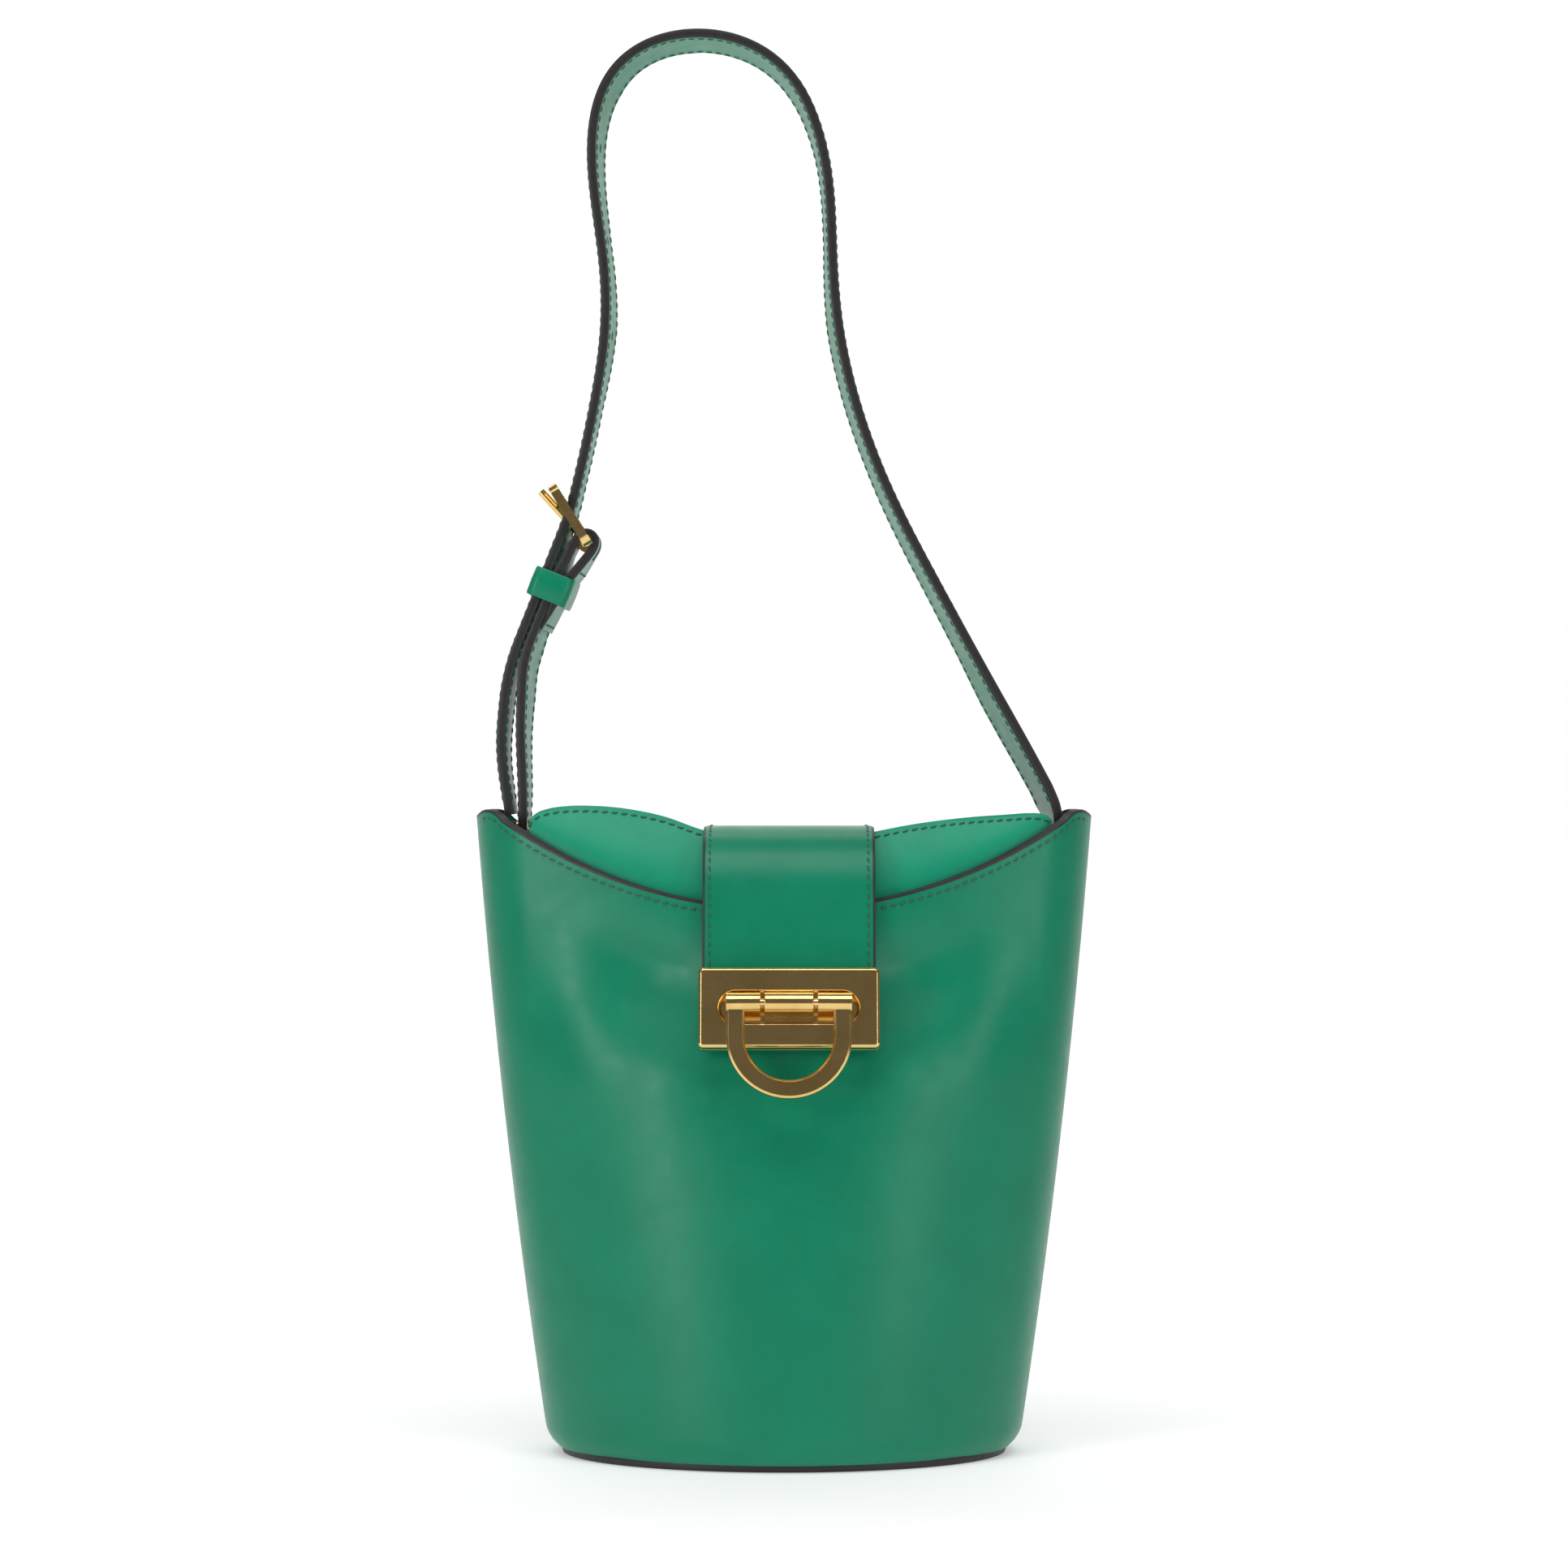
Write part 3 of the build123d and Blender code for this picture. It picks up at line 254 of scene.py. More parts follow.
gold, tree, shader = new_material("gold_plate", (0.80, 0.55, 0.21), 0.13, 1.0)
tree.links.new(
    color_between(tree, noise(tree, 90.0, 3.0), (0.76, 0.51, 0.18), (0.85, 0.60, 0.25)),
    shader.inputs["Base Color"],
)
tree.links.new(
    remap(tree, noise(tree, 420.0, 5.0, 0.7, (1.0, 9.0, 9.0)), 0.09, 0.22),
    shader.inputs["Roughness"],
)
bump(tree, shader, noise(tree, 600.0, 2.0, 0.5, (1.0, 12.0, 12.0)), 0.00002, 0.12)

steel, tree, shader = new_material("magnet_steel", (0.55, 0.55, 0.56), 0.35, 1.0)
tree.links.new(remap(tree, noise(tree, 500.0), 0.25, 0.45), shader.inputs["Roughness"])

board, tree, shader = new_material("fibre_board", (0.22, 0.16, 0.11), 0.85)
tree.links.new(
    color_between(tree, noise(tree, 600.0, 6.0), (0.16, 0.11, 0.07), (0.26, 0.19, 0.13)),
    shader.inputs["Base Color"],
)

# Near-black painted shade, set as a plug in each of the strap's punched holes in place of the open hole.
hole_painted_shade, tree, shader = new_material("hole_painted_shade", (0.004, 0.006, 0.005), 0.8)
bump(tree, shader, noise(tree, 1500.0), 0.0001, 0.3)


# ---- mesh helpers --------------------------------------------------------------------------------
def smooth_faces(mesh):
    mesh.polygons.foreach_set("use_smooth", [True] * len(mesh.polygons))


def mesh_object(name, points, faces, materials, face_material=None, angle=40.0):
    """A smooth mesh from points in millimetres, with edges sharper than the angle kept sharp."""
    mesh = bpy.data.meshes.new(name)
    mesh.from_pydata((np.asarray(points, float) * MM).tolist(), [], [list(map(int, f)) for f in faces])
    for material in materials:
        mesh.materials.append(material)
    if face_material is not None:
        mesh.polygons.foreach_set("material_index", np.asarray(face_material, np.int32))
    mesh.validate()
    obj = bpy.data.objects.new(name, mesh)
    bpy.context.scene.collection.objects.link(obj)
    smooth_faces(mesh)
    mesh.set_sharp_from_angle(angle=radians(angle))
    return obj


def apply_modifiers(obj):
    depsgraph = bpy.context.evaluated_depsgraph_get()
    mesh = bpy.data.meshes.new_from_object(obj.evaluated_get(depsgraph))
    obj.modifiers.clear()
    obj.data = mesh


def weld(obj, distance):
    """Merges points closer than the distance in metres."""
    modifier = obj.modifiers.new("weld", "WELD")
    modifier.merge_threshold = distance


# A sheet's or a strip's first material is its skin, and its second the paint on its edges.
SKIN, EDGE = 0, 1


def thick_sheet(name, outer, inner, materials, skip=None, paint_rows=0):
    """A closed sheet between two grids of points, with painted edges round it and round its cuts.

    The faces marked in skip are left out, and the last paint_rows rows are painted like the edges.
    """
    rows, cols = outer.shape[:2]
    points = np.concatenate([outer.reshape(-1, 3), inner.reshape(-1, 3)])
    shift = rows * cols
    faces, kinds = [], []

    def present(i, j):
        return 0 <= i < rows - 1 and 0 <= j < cols - 1 and not (skip is not None and skip[i, j])

    for i in range(rows - 1):
        for j in range(cols - 1):
            if not present(i, j):
                continue
            a, b, c, d = i * cols + j, i * cols + j + 1, (i + 1) * cols + j + 1, (i + 1) * cols + j
            kind = EDGE if i >= rows - 1 - paint_rows else SKIN
            faces += [(a, b, c, d), (shift + a, shift + d, shift + c, shift + b)]
            kinds += [kind, kind]
            sides = (((i - 1, j), (a, b)), ((i, j + 1), (b, c)), ((i + 1, j), (c, d)), ((i, j - 1), (d, a)))
            for neighbour, (p, q) in sides:
                if not present(*neighbour):
                    faces.append((q, p, shift + p, shift + q))
                    kinds.append(EDGE)
    return mesh_object(name, points, faces, materials, kinds)


def stitch_row(name, points, normals, body=None, lift=0.12):
    """A row of saddle stitches along a line, each a small slanted capsule half sunk in the leather.

    The middle of each stitch stands up by the lift.
    """
    points, normals = np.asarray(points, float), np.asarray(normals, float)
    steps = np.linalg.norm(np.diff(points, axis=0), axis=1)
    length = np.concatenate([[0], np.cumsum(steps)])
    count = int(length[-1] // STITCH_PITCH)
    centres = (np.arange(count) + 0.5) * length[-1] / count
    verts, faces = [], []
    around, along = 8, 6
    for at in centres:
        p = np.array([np.interp(at, length, points[:, k]) for k in range(3)])
        ahead = np.array([np.interp(at + 0.5, length, points[:, k]) for k in range(3)])
        behind = np.array([np.interp(at - 0.5, length, points[:, k]) for k in range(3)])
        n = np.array([np.interp(at, length, normals[:, k]) for k in range(3)])
        n /= np.linalg.norm(n)
        t = ahead - behind
        t /= np.linalg.norm(t)
        side = np.cross(n, t)
        t = t * cos(STITCH_SLANT) + side * sin(STITCH_SLANT)
        side = np.cross(n, t)
        base = len(verts)
        for i in range(along + 1):
            u = -1 + 2 * i / along
            radius = STITCH_RADIUS * max(0.05, (1 - abs(u) ** 3) ** 0.5)
            for k in range(around):
                phi = 2 * pi * k / around
                verts.append(
                    p + t * u * STITCH_LENGTH / 2 + n * (lift * (1 - u * u) + radius * cos(phi))
                    + side * radius * 0.9 * sin(phi)
                )
        for i in range(along):
            for k in range(around):
                k2 = (k + 1) % around
                faces.append((
                    base + i * around + k, base + i * around + k2,
                    base + (i + 1) * around + k2, base + (i + 1) * around + k,
                ))
        faces.append(tuple(base + k for k in reversed(range(around))))
        faces.append(tuple(base + along * around + k for k in range(around)))
    obj = mesh_object(name, verts, faces, [thread], angle=80)
    if body:
        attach(obj, body)
    return obj


# ---- front and back panels, lining and base ------------------------------------------------------
PAINT_HEIGHT = 1.0
EDGE_ROUND = 0.35
EDGE_ROUND_DROP = 0.3
DENT_FADE = 22.0
DENT_FADE_POWER = 1.3
SEAM_FADE = 8
STITCH_DROP = 2.9
STITCH_ROW_END_X = 92.5
LINING_GAP = 0.15
LINING_THICKNESS = 0.8
LINING_BELOW_RIM = 2.5
LINING_FOOT_Z = BASE_TOP_Z + 2.2


def wall_grid(side, inset, drop=0.0, foot=WALL_FOOT_Z, cols=221, rows=100, edge_way=0.0):
    """Grid of points over one half of the wall, from its foot up to the rim, and its outward normals.

    side is -1 for the front and 1 for the back. edge_way rounds the very top outwards (1) or inwards (-1).
    """
    s = np.linspace(-1, 1, cols)[None, :]
    t = np.linspace(0, 1, rows)[:, None]
    top = np.full_like(s, RIM_DIP_Z)
    # The rim's height depends on x, and x on the height, so a few rounds settle both.
    for _ in range(6):
        top = rim_height(oval_point(s, top, inset)[0], drop)
    z = foot + t * (top - foot) + 0 * s
    # The highest rows lie close together and carry the painted, rounded edge.
    z[-3:] = np.vstack([top - PAINT_HEIGHT - 0.02, top - PAINT_HEIGHT, top - EDGE_ROUND_DROP])
    z = np.vstack([z, top])
    x, y, nx, ny = oval_point(s + 0 * z, z, inset)
    if side < 0:
        press = dent(x, z) * np.clip((1 - np.abs(s)) * SEAM_FADE, 0, 1)
        press = press * np.clip((top - z) / DENT_FADE, 0.0, 1) ** DENT_FADE_POWER
        x, y = x - nx * press, y - ny * press
    x[-1], y[-1] = x[-1] - nx[-1] * EDGE_ROUND * edge_way, y[-1] - ny[-1] * EDGE_ROUND * edge_way
    return np.stack([x, -side * y, z], axis=-1), np.stack([nx + 0 * z, -side * ny + 0 * z, 0 * z], axis=-1)


for side, node in ((-1, "front_panel"), (1, "back_panel")):
    outer, normal = wall_grid(side, 0.0, edge_way=1.0)
    inner = wall_grid(side, PANEL_THICKNESS, edge_way=-1.0)[0]
    inner[-4:, :, 2] = outer[-4:, :, 2]
    if side > 0:
        outer, inner = outer[:, ::-1], inner[:, ::-1]
    skin = thick_sheet(node + "_skin", outer, inner, [leather, edge_paint], paint_rows=2)
    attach(skin, "root")
    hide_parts(node)
    full = wall_grid(side, -0.02, STITCH_DROP, cols=400)
    line, normals = full[0][-1], full[1][-1]
    keep = np.abs(line[:, 0]) < STITCH_ROW_END_X
    stitch_row(node + "_stitches", line[keep], normals[keep], body="root")


def lining_shell():
    """The suede lining: both walls in one ring of points, with a floor."""
    inset = PANEL_THICKNESS + LINING_GAP
    layers = []
    for extra in (0.0, LINING_THICKNESS):
        front = wall_grid(-1, inset + extra, LINING_BELOW_RIM, LINING_FOOT_Z, rows=60)[0]
        rear = wall_grid(1, inset + extra, LINING_BELOW_RIM, LINING_FOOT_Z, rows=60)[0][:, ::-1]
        layers.append(np.concatenate([front, rear[:, 1:]], axis=1))
    layers[1][0, :, 2] += LINING_THICKNESS
    rows, cols = layers[0].shape[:2]
    points = np.concatenate([g.reshape(-1, 3) for g in layers])
    shift = rows * cols
    faces = []
    for i in range(rows - 1):
        for j in range(cols - 1):
            a, b, c, d = i * cols + j, i * cols + j + 1, (i + 1) * cols + j + 1, (i + 1) * cols + j
            faces += [(a, b, c, d), (shift + a, shift + d, shift + c, shift + b)]
    last = (rows - 1) * cols
    for j in range(cols - 1):
        faces.append((last + j, last + j + 1, shift + last + j + 1, shift + last + j))
    points = np.concatenate([points, [[0, 0, layers[0][0, 0, 2]], [0, 0, layers[1][0, 0, 2]]]])
    for j in range(cols - 1):
        faces += [(2 * shift, j + 1, j), (2 * shift + 1, shift + j, shift + j + 1)]
    obj = mesh_object("lining_skin", points, faces, [suede])
    weld(obj, 0.00002)
    apply_modifiers(obj)
    return obj


lining = lining_shell()
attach(lining, "root")
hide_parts("body_lining")


def base_disc():
    """Oval base: a leather underside with a rounded corner and a painted edge band."""
    # Share of the full length and width, and height, from the middle of the underside outwards and up.
    profile = [(0.0, 0.35), (0.80, 0.25), (0.955, 0.0), (0.985, 0.0), (0.996, 0.25), (1.0, 0.9), (1.0, 2.4),
               (0.997, BASE_TOP_Z), (0.90, BASE_TOP_Z)]
    cols = 160
    verts, faces, kinds = [(0, 0, profile[0][1])], [], []
    for share, z in profile[1:]:
        for k in range(cols):
            phi = 2 * pi * k / cols
            verts.append((BASE_HALF_LENGTH * share * cos(phi), BASE_HALF_DEPTH * share * sin(phi), z))
    for k in range(cols):
        faces.append((0, 1 + (k + 1) % cols, 1 + k))
        kinds.append(SKIN)
    for ring in range(len(profile) - 2):
        for k in range(cols):
            k2 = (k + 1) % cols
            a, b = 1 + ring * cols + k, 1 + ring * cols + k2
            faces.append((a, b, b + cols, a + cols))
            kinds.append(SKIN if ring < 1 else EDGE)
    faces.append(tuple(1 + (len(profile) - 2) * cols + k for k in range(cols)))
    kinds.append(EDGE)
    return mesh_object("base_skin", verts, faces, [leather, edge_paint], kinds, angle=50)


base = base_disc()
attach(base, "root")
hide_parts("base_plate")


# ---- flap: one strip of leather over the mouth, and two leaves -----------------------------------
tab_low, tab_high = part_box("flap_tab")
FLAP_X = (tab_low.x + tab_high.x) / 2 / MM
TAB_WIDTH = (tab_high.x - tab_low.x) / MM
FLAP_THICKNESS = 2.2
WALL_CLEARANCE = 0.4
CREST_Z = tab_high.z / MM - FLAP_THICKNESS / 2
CREST_RADIUS = 22.0
TAB_FOOT_Z = tab_low.z / MM + 1.0
NECK_FOOT_Z = 134.0


def wall_offset(z, offset):
    """Point (y, z) that stands off the leaning front wall, square to it, from the height z."""
    wall_y = -(MOUTH_HALF_DEPTH + WALL_LEAN * (MOUTH_Z - z))
    return np.array([wall_y - offset * cos(LEAN), z + offset * sin(LEAN)])


def flap_line(step=1.0):
    """Middle line (y, z) of the flap's leather, from the tab's foot over the crest to the neck's foot."""
    stand = WALL_CLEARANCE + FLAP_THICKNESS / 2
    points = []
    for side, foot in ((1, TAB_FOOT_Z), (-1, NECK_FOOT_Z)):
        centre_z = CREST_Z - CREST_RADIUS
        bend_z = centre_z + CREST_RADIUS * sin(LEAN)
        bend_y = wall_offset(bend_z - stand * sin(LEAN), stand)[0]
        centre_y = bend_y + CREST_RADIUS * cos(LEAN)
        start = wall_offset(foot, stand)
        count = int((bend_z - start[1]) / step)
        half = [start + (np.array([bend_y, bend_z]) - start) * k / count for k in range(count)]
        for phi in np.linspace(pi / 2 - LEAN, 0, 40):
            half.append(np.array([centre_y - CREST_RADIUS * sin(phi), centre_z + CREST_RADIUS * cos(phi)]))
        half = np.array(half)
        half[:, 0] *= side
        points.append(half if side == 1 else half[::-1])
    crest = np.linspace(points[0][-1], points[1][0], 24)[1:-1]
    return np.concatenate([points[0], crest, points[1]])


def strip_from(name, line, width, thickness, centre_x, materials):
    """A flat leather strip along a line in the YZ plane, with rounded painted edges, and its normals."""
    tangent = np.gradient(line, axis=0)
    tangent /= np.linalg.norm(tangent, axis=1)[:, None]
    normal = np.stack([-tangent[:, 1], tangent[:, 0]], axis=1)
    half, face = width / 2, thickness / 2
    edge = 0.8
    # Across the strip: place, height over the middle, and whether the paint is on it.
    section = [(-half, 0.0, 1), (-half + 0.12, face - 0.25, 1), (-half + edge, face, 0)]
    section += [(x, face, 0) for x in np.linspace(-half + 2, half - 2, 21)]
    section += [(half - edge, face, 0), (half - 0.12, face - 0.25, 1), (half, 0.0, 1)]
    lower = [(x, -h, painted) for x, h, painted in section[::-1][1:-1]]
    loop = section + lower
    count = len(loop)
    points = np.array([
        (centre_x + x, p[0] + n[0] * h, p[1] + n[1] * h) for p, n in zip(line, normal) for x, h, _ in loop
    ])
    faces, kinds = [], []
    for i in range(len(line) - 1):
        for k in range(count):
            k2 = (k + 1) % count
            faces.append((i * count + k, i * count + k2, (i + 1) * count + k2, (i + 1) * count + k))
            kinds.append(EDGE if loop[k][2] or loop[k2][2] else SKIN)
    faces.append(tuple(reversed(range(count))))
    faces.append(tuple((len(line) - 1) * count + k for k in range(count)))
    kinds += [EDGE, EDGE]
    obj = mesh_object(name, points, faces, materials, kinds, angle=60)
    return obj, normal


line = flap_line()
flap_strip, strip_normal = strip_from(
    "flap_leather", line, TAB_WIDTH, FLAP_THICKNESS, FLAP_X, [leather, edge_paint]
)
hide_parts("flap_tab", "flap_neck")
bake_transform(flap_strip)
FLAP_STITCH_INSET = 2.1
for side in (-1, 1):
    x = FLAP_X + side * (TAB_WIDTH / 2 - FLAP_STITCH_INSET)
    inside = slice(3, len(line) - 3)
    surface = line[inside] + strip_normal[inside] * (FLAP_THICKNESS / 2 + 0.02)
    row = np.column_stack([np.full(len(surface), x), surface])
    normals = np.column_stack([np.zeros(len(surface)), strip_normal[inside]])
    seam = stitch_row(f"flap_stitches_{'left' if side < 0 else 'right'}", row, normals, lift=0.0)
    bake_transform(seam)

LEAF_FRONT = np.array([-28.6, 169.5])
LEAF_BACK = np.array([-14.0, 197.0])
LEAF_THICKNESS = 2.0
LEAF_SWELL = 1.0
LEAF_RISE = 31.0
LEAF_STITCH_DROP = 2.0
LEAF_STITCH_START_X = 24.0
WALL_AND_LINING = 3.4
BEHIND_SOFTNESS = 3.0
leaf_up = (LEAF_BACK - LEAF_FRONT) / np.linalg.norm(LEAF_BACK - LEAF_FRONT)
leaf_out = np.array([-leaf_up[1], leaf_up[0]])
# Upper edge of each leaf: distance from the middle, and height.
LEAVES = {
    "left": (-1, [(20.0, 189.2), (26.6, 191.3), (36.6, 195.0), (46.6, 197.2), (58.0, 198.3), (66.6, 198.2),
                  (71.6, 197.5), (75.4, 196.1), (77.0, 194.6), (77.7, 192.6)]),
    "right": (1, [(20.0, 188.4), (28.4, 190.3), (38.4, 192.3), (48.4, 193.8), (58.4, 194.9), (68.4, 195.6),
                  (74.0, 196.0), (78.5, 195.8), (80.8, 194.9), (81.6, 193.8)]),
}


def smooth_curve(points, count):
    """Evenly spread points on a smooth curve through given ones."""
    points = np.asarray(points, float)
    t = np.concatenate([[0], np.cumsum(np.linalg.norm(np.diff(points, axis=0), axis=1))])
    at = np.linspace(0, t[-1], count)
    slope = np.gradient(points, t, axis=0)
    k = np.clip(np.searchsorted(t, at, side="right") - 1, 0, len(t) - 2)
    h = (t[k + 1] - t[k])[:, None]
    u = ((at - t[k]) / (t[k + 1] - t[k]))[:, None]
    return (
        (2 * u ** 3 - 3 * u ** 2 + 1) * points[k] + (u ** 3 - 2 * u ** 2 + u) * h * slope[k]
        + (-2 * u ** 3 + 3 * u ** 2) * points[k + 1] + (u ** 3 - u ** 2) * h * slope[k + 1]
    )


def leaf_surface(x, z, lift):
    """Point of a leaf's skin over (x, z), lifted square to its slope, with a slight swell."""
    rise = (z - LEAF_FRONT[1]) / leaf_up[1]
    swell = LEAF_SWELL * np.sin(np.clip(rise / LEAF_RISE, 0, 1) * pi)
    flat = LEAF_FRONT[None, :] + rise[:, None] * leaf_up[None, :]
    flat = flat + (lift + swell)[:, None] * leaf_out[None, :]
    return np.column_stack([x, flat[:, 0], flat[:, 1]])


def behind_wall(y, x, gap):
    """Moves y back, softly, to stay a gap clear of the wall's inside."""
    a = half_width(MOUTH_Z) - WALL_AND_LINING
    b = MOUTH_HALF_DEPTH - WALL_AND_LINING
    r = MOUTH_END_RADIUS - WALL_AND_LINING
    long_radius = ((a - r) ** 2 + b * b - r * r) / (2 * (b - r))
    join = (a - r) * (1 + r / (long_radius - r))
    on_end = np.sqrt(np.clip(r * r - np.clip(np.abs(x) - (a - r), 0, r) ** 2, 0, None))
    on_long = b - long_radius + np.sqrt(long_radius ** 2 - x * x)
    limit = gap - np.where(np.abs(x) > join, on_end, on_long)
    return (y + limit + np.sqrt((y - limit) ** 2 + BEHIND_SOFTNESS ** 2)) / 2


for name, (side, edge_points) in LEAVES.items():
    top = smooth_curve(edge_points, 90)
    rows = 22
    skins = []
    for lift in (LEAF_THICKNESS / 2, -LEAF_THICKNESS / 2):
        grid = []
        for i in range(rows):
            t = i / (rows - 1)
            bottom = rim_height(top[:, 0]) - 0.6
            z = bottom + (np.maximum(top[:, 1], bottom + 1.2) - bottom) * t
            taper = lift * (0.55 + 0.45 * min(1.0, (1 - t) * rows / 2.0))
            p = leaf_surface(side * top[:, 0], z, np.full(len(top), taper))
            p[:, 1] = behind_wall(p[:, 1], p[:, 0], (1.0 - lift) * 0.9)
            grid.append(p)
        skins.append(np.array(grid))
    if side < 0:
        skins = [g[:, ::-1] for g in skins]
    leaf = thick_sheet(f"flap_leaf_{name}_skin", skins[0], skins[1], [leaf_leather_painted_light, edge_paint])
    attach(leaf, "flap")
    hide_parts(f"flap_leaf_{name}")
    shown = top[top[:, 0] > LEAF_STITCH_START_X]
    z = shown[:, 1] - LEAF_STITCH_DROP
    row = leaf_surface(side * shown[:, 0], z, np.full(len(shown), LEAF_THICKNESS / 2 + 0.03))
    row[:, 1] = behind_wall(row[:, 1], row[:, 0], -0.03)
    keep = z > rim_height(shown[:, 0]) + 0.5
    normals = np.tile([0.0, leaf_out[0], leaf_out[1]], (len(row), 1))
    stitch_row(f"flap_leaf_{name}_stitches", row[keep], normals[keep], body="flap")


# ---- carrying strap ------------------------------------------------------------------------------
STRAP_WIDTH = 20.0
STRAP_THICKNESS = 2.8
STRAP_LEG_X = 84.0
CHAPE_LEG_X = 80.0
PIVOT_Z = RIM_DIP_Z + 22.0
# The strap's middle line seen from the front, as x, z and how far from the corner its bend starts.
STRAP_ROUTE = (
    (-STRAP_LEG_X, 195.8, 0), (-87.2, 216.0, 9), (-84.9, 240.0, 10), (-63.7, 293.0, 13), (-52.2, 351.0, 21),
    (-60.8, 399.0, 12), (-57.0, 425.0, 10), (-39.0, 436.4, 10), (-14.0, 436.4, 10), (4.5, 425.0, 10),
    (14.6, 396.0, 14), (14.8, 346.0, 22), (27.5, 302.0, 22), (60.0, 242.0, 19), (79.5, 208.0, 6),
    (STRAP_LEG_X, 197.5, 4), (STRAP_LEG_X, 180.0, 0),
)
BAR_X, BAR_Z, BAR_RADIUS = -60.5, 279.5, 1.8
EYE_CLEARANCE = 0.1
LAYER_GAP = 0.5
FOLD_END_Z = 254.6
HOLE_HEIGHTS = (401.0, 372.5, 343.5)
HOLE_MARK_RADIUS = 1.4
STRAP_STITCH_INSET = 2.0


def route_line(route, step=1.0):
    """Points along a route of straight runs joined by smooth bends, one every step."""
    points = [np.array(route[0][:2], float)]
    for before, corner, after in zip(route, route[1:], route[2:]):
        p = np.array(corner[:2], float)
        back = np.array(before[:2], float) - p
        ahead = np.array(after[:2], float) - p
        back /= np.linalg.norm(back)
        ahead /= np.linalg.norm(ahead)
        for u in np.linspace(0, 1, 16):
            start, end = p + back * corner[2], p + ahead * corner[2]
            points.append((1 - u) ** 2 * start + 2 * u * (1 - u) * p + u * u * end)
    points.append(np.array(route[-1][:2], float))
    return resample(np.array(points), step)


def resample(points, step):
    t = np.concatenate([[0], np.cumsum(np.linalg.norm(np.diff(points, axis=0), axis=1))])
    at = np.linspace(0, t[-1], max(2, int(t[-1] / step)))
    return np.column_stack([np.interp(at, t, points[:, k]) for k in range(points.shape[1])])


def relax(points, rounds, hold):
    """Eases small bends out of a line, leaving the points marked by hold in place."""
    points = points.copy()
    for _ in range(rounds):
        middle = (points[:-2] + points[2:]) / 2
        move = (middle - points[1:-1]) * 0.5
        points[1:-1] += move * (1 - hold[1:-1])[:, None]
    return points


def band(name, line, width, thickness, slide, cut=None, narrow=None, thin=None):
    """A flat leather band along a line in the XZ plane, with rounded painted edges, and its normals.

    Its rear edge is moved by slide in x and z. cut marks faces left out, and narrow and thin are its share
    of the full width and thickness at each point.
    """
    tangent = np.gradient(line, axis=0)
    tangent /= np.linalg.norm(tangent, axis=1)[:, None]
    normal = np.stack([-tangent[:, 1], tangent[:, 0]], axis=1)
    half = width / 2
    edge = 0.5
    across = np.concatenate([[-half, -half + 0.15, -half + edge], np.linspace(-half + 2, half - 2, 15),
                             [half - edge, half - 0.15, half]])
    depth = np.full(len(across), thickness / 2)
    depth[[0, -1]] = thickness / 2 - 0.45
    depth[[1, -2]] = thickness / 2 - 0.12
    scale = np.ones(len(line)) if narrow is None else narrow
    thin = np.ones(len(line)) if thin is None else thin
    grids = []
    for sign in (1, -1):
        grid = np.zeros((len(line), len(across), 3))
        for j, (y, d) in enumerate(zip(across, depth)):
            share = (y + half) / width
            grid[:, j, 0] = line[:, 0] + normal[:, 0] * sign * d * thin + slide[:, 0] * share
            grid[:, j, 1] = y * scale
            grid[:, j, 2] = line[:, 1] + normal[:, 1] * sign * d * thin + slide[:, 1] * share
        grids.append(grid)
    obj = thick_sheet(name, grids[0], grids[1], [leather, edge_paint], cut)
    mesh = obj.data
    from_middle = np.abs([p.center.y for p in mesh.polygons])
    kinds = np.array([p.material_index for p in mesh.polygons])
    kinds[from_middle > (half - edge * 0.9) * MM] = EDGE
    mesh.polygons.foreach_set("material_index", kinds.astype(np.int32))
    return obj, normal


def band_stitches(name, line, normal, width, thickness, body, slide, span):
    for face in (1, -1):
        for side in (-1, 1):
            y = side * (width / 2 - STRAP_STITCH_INSET)
            offset = face * (thickness / 2 - 0.02)
            middle = line + normal * offset + slide * (y + width / 2) / width
            row = np.column_stack([middle[:, 0], np.full(len(line), y), middle[:, 1]])
            normals = np.column_stack([normal[:, 0] * face, np.zeros(len(line)), normal[:, 1] * face])
            label = f"{name}_stitches_{'in' if face < 0 else 'out'}_{'front' if side < 0 else 'back'}"
            stitch_row(label, row[span], normals[span], body, 0.0)


def round_end(line, width, pivot_z):
    """Share of the full width near a round lower end centred on the pivot."""
    below = np.clip(pivot_z - line[:, 1], 0, width / 2 - 0.6)
    return np.sqrt((width / 2) ** 2 - below ** 2) / (width / 2)


strap_line = route_line(STRAP_ROUTE)
hold = ((strap_line[:, 1] < 292) & (strap_line[:, 0] < -60)) | (strap_line[:, 1] < 205)
strap_line = relax(strap_line, 260, hold.astype(float))
# The strap is a little twisted: its rear edge lies in towards the arch's inside, by so much at a height.
LEAN_LEFT = ((184, 0.0), (205, 0.4), (222, 1.1), (250, 1.5), (262, 1.2), (300, 0.5), (322, 0.6), (346, 1.8),
             (371, 1.4), (396, 2.2), (421, 3.0), (437, 2.0))
LEAN_RIGHT = ((184, 0.0), (200, 3.8), (222, 4.1), (232, 4.0), (247, 3.0), (262, 2.5), (306, 1.8), (346, 2.1),
              (371, 1.1), (396, 1.0), (421, 1.7), (437, 2.0))
tangent = np.gradient(strap_line, axis=0)
tangent /= np.linalg.norm(tangent, axis=1)[:, None]
inward = np.stack([tangent[:, 1], -tangent[:, 0]], axis=1)
lean = np.where(
    strap_line[:, 0] < -26.5,
    np.interp(strap_line[:, 1], *zip(*LEAN_LEFT)),
    np.interp(strap_line[:, 1], *zip(*LEAN_RIGHT)),
)
slide = inward * lean[:, None]
narrow = np.where(strap_line[:, 0] > 0, round_end(strap_line, STRAP_WIDTH, PIVOT_Z), 1.0)
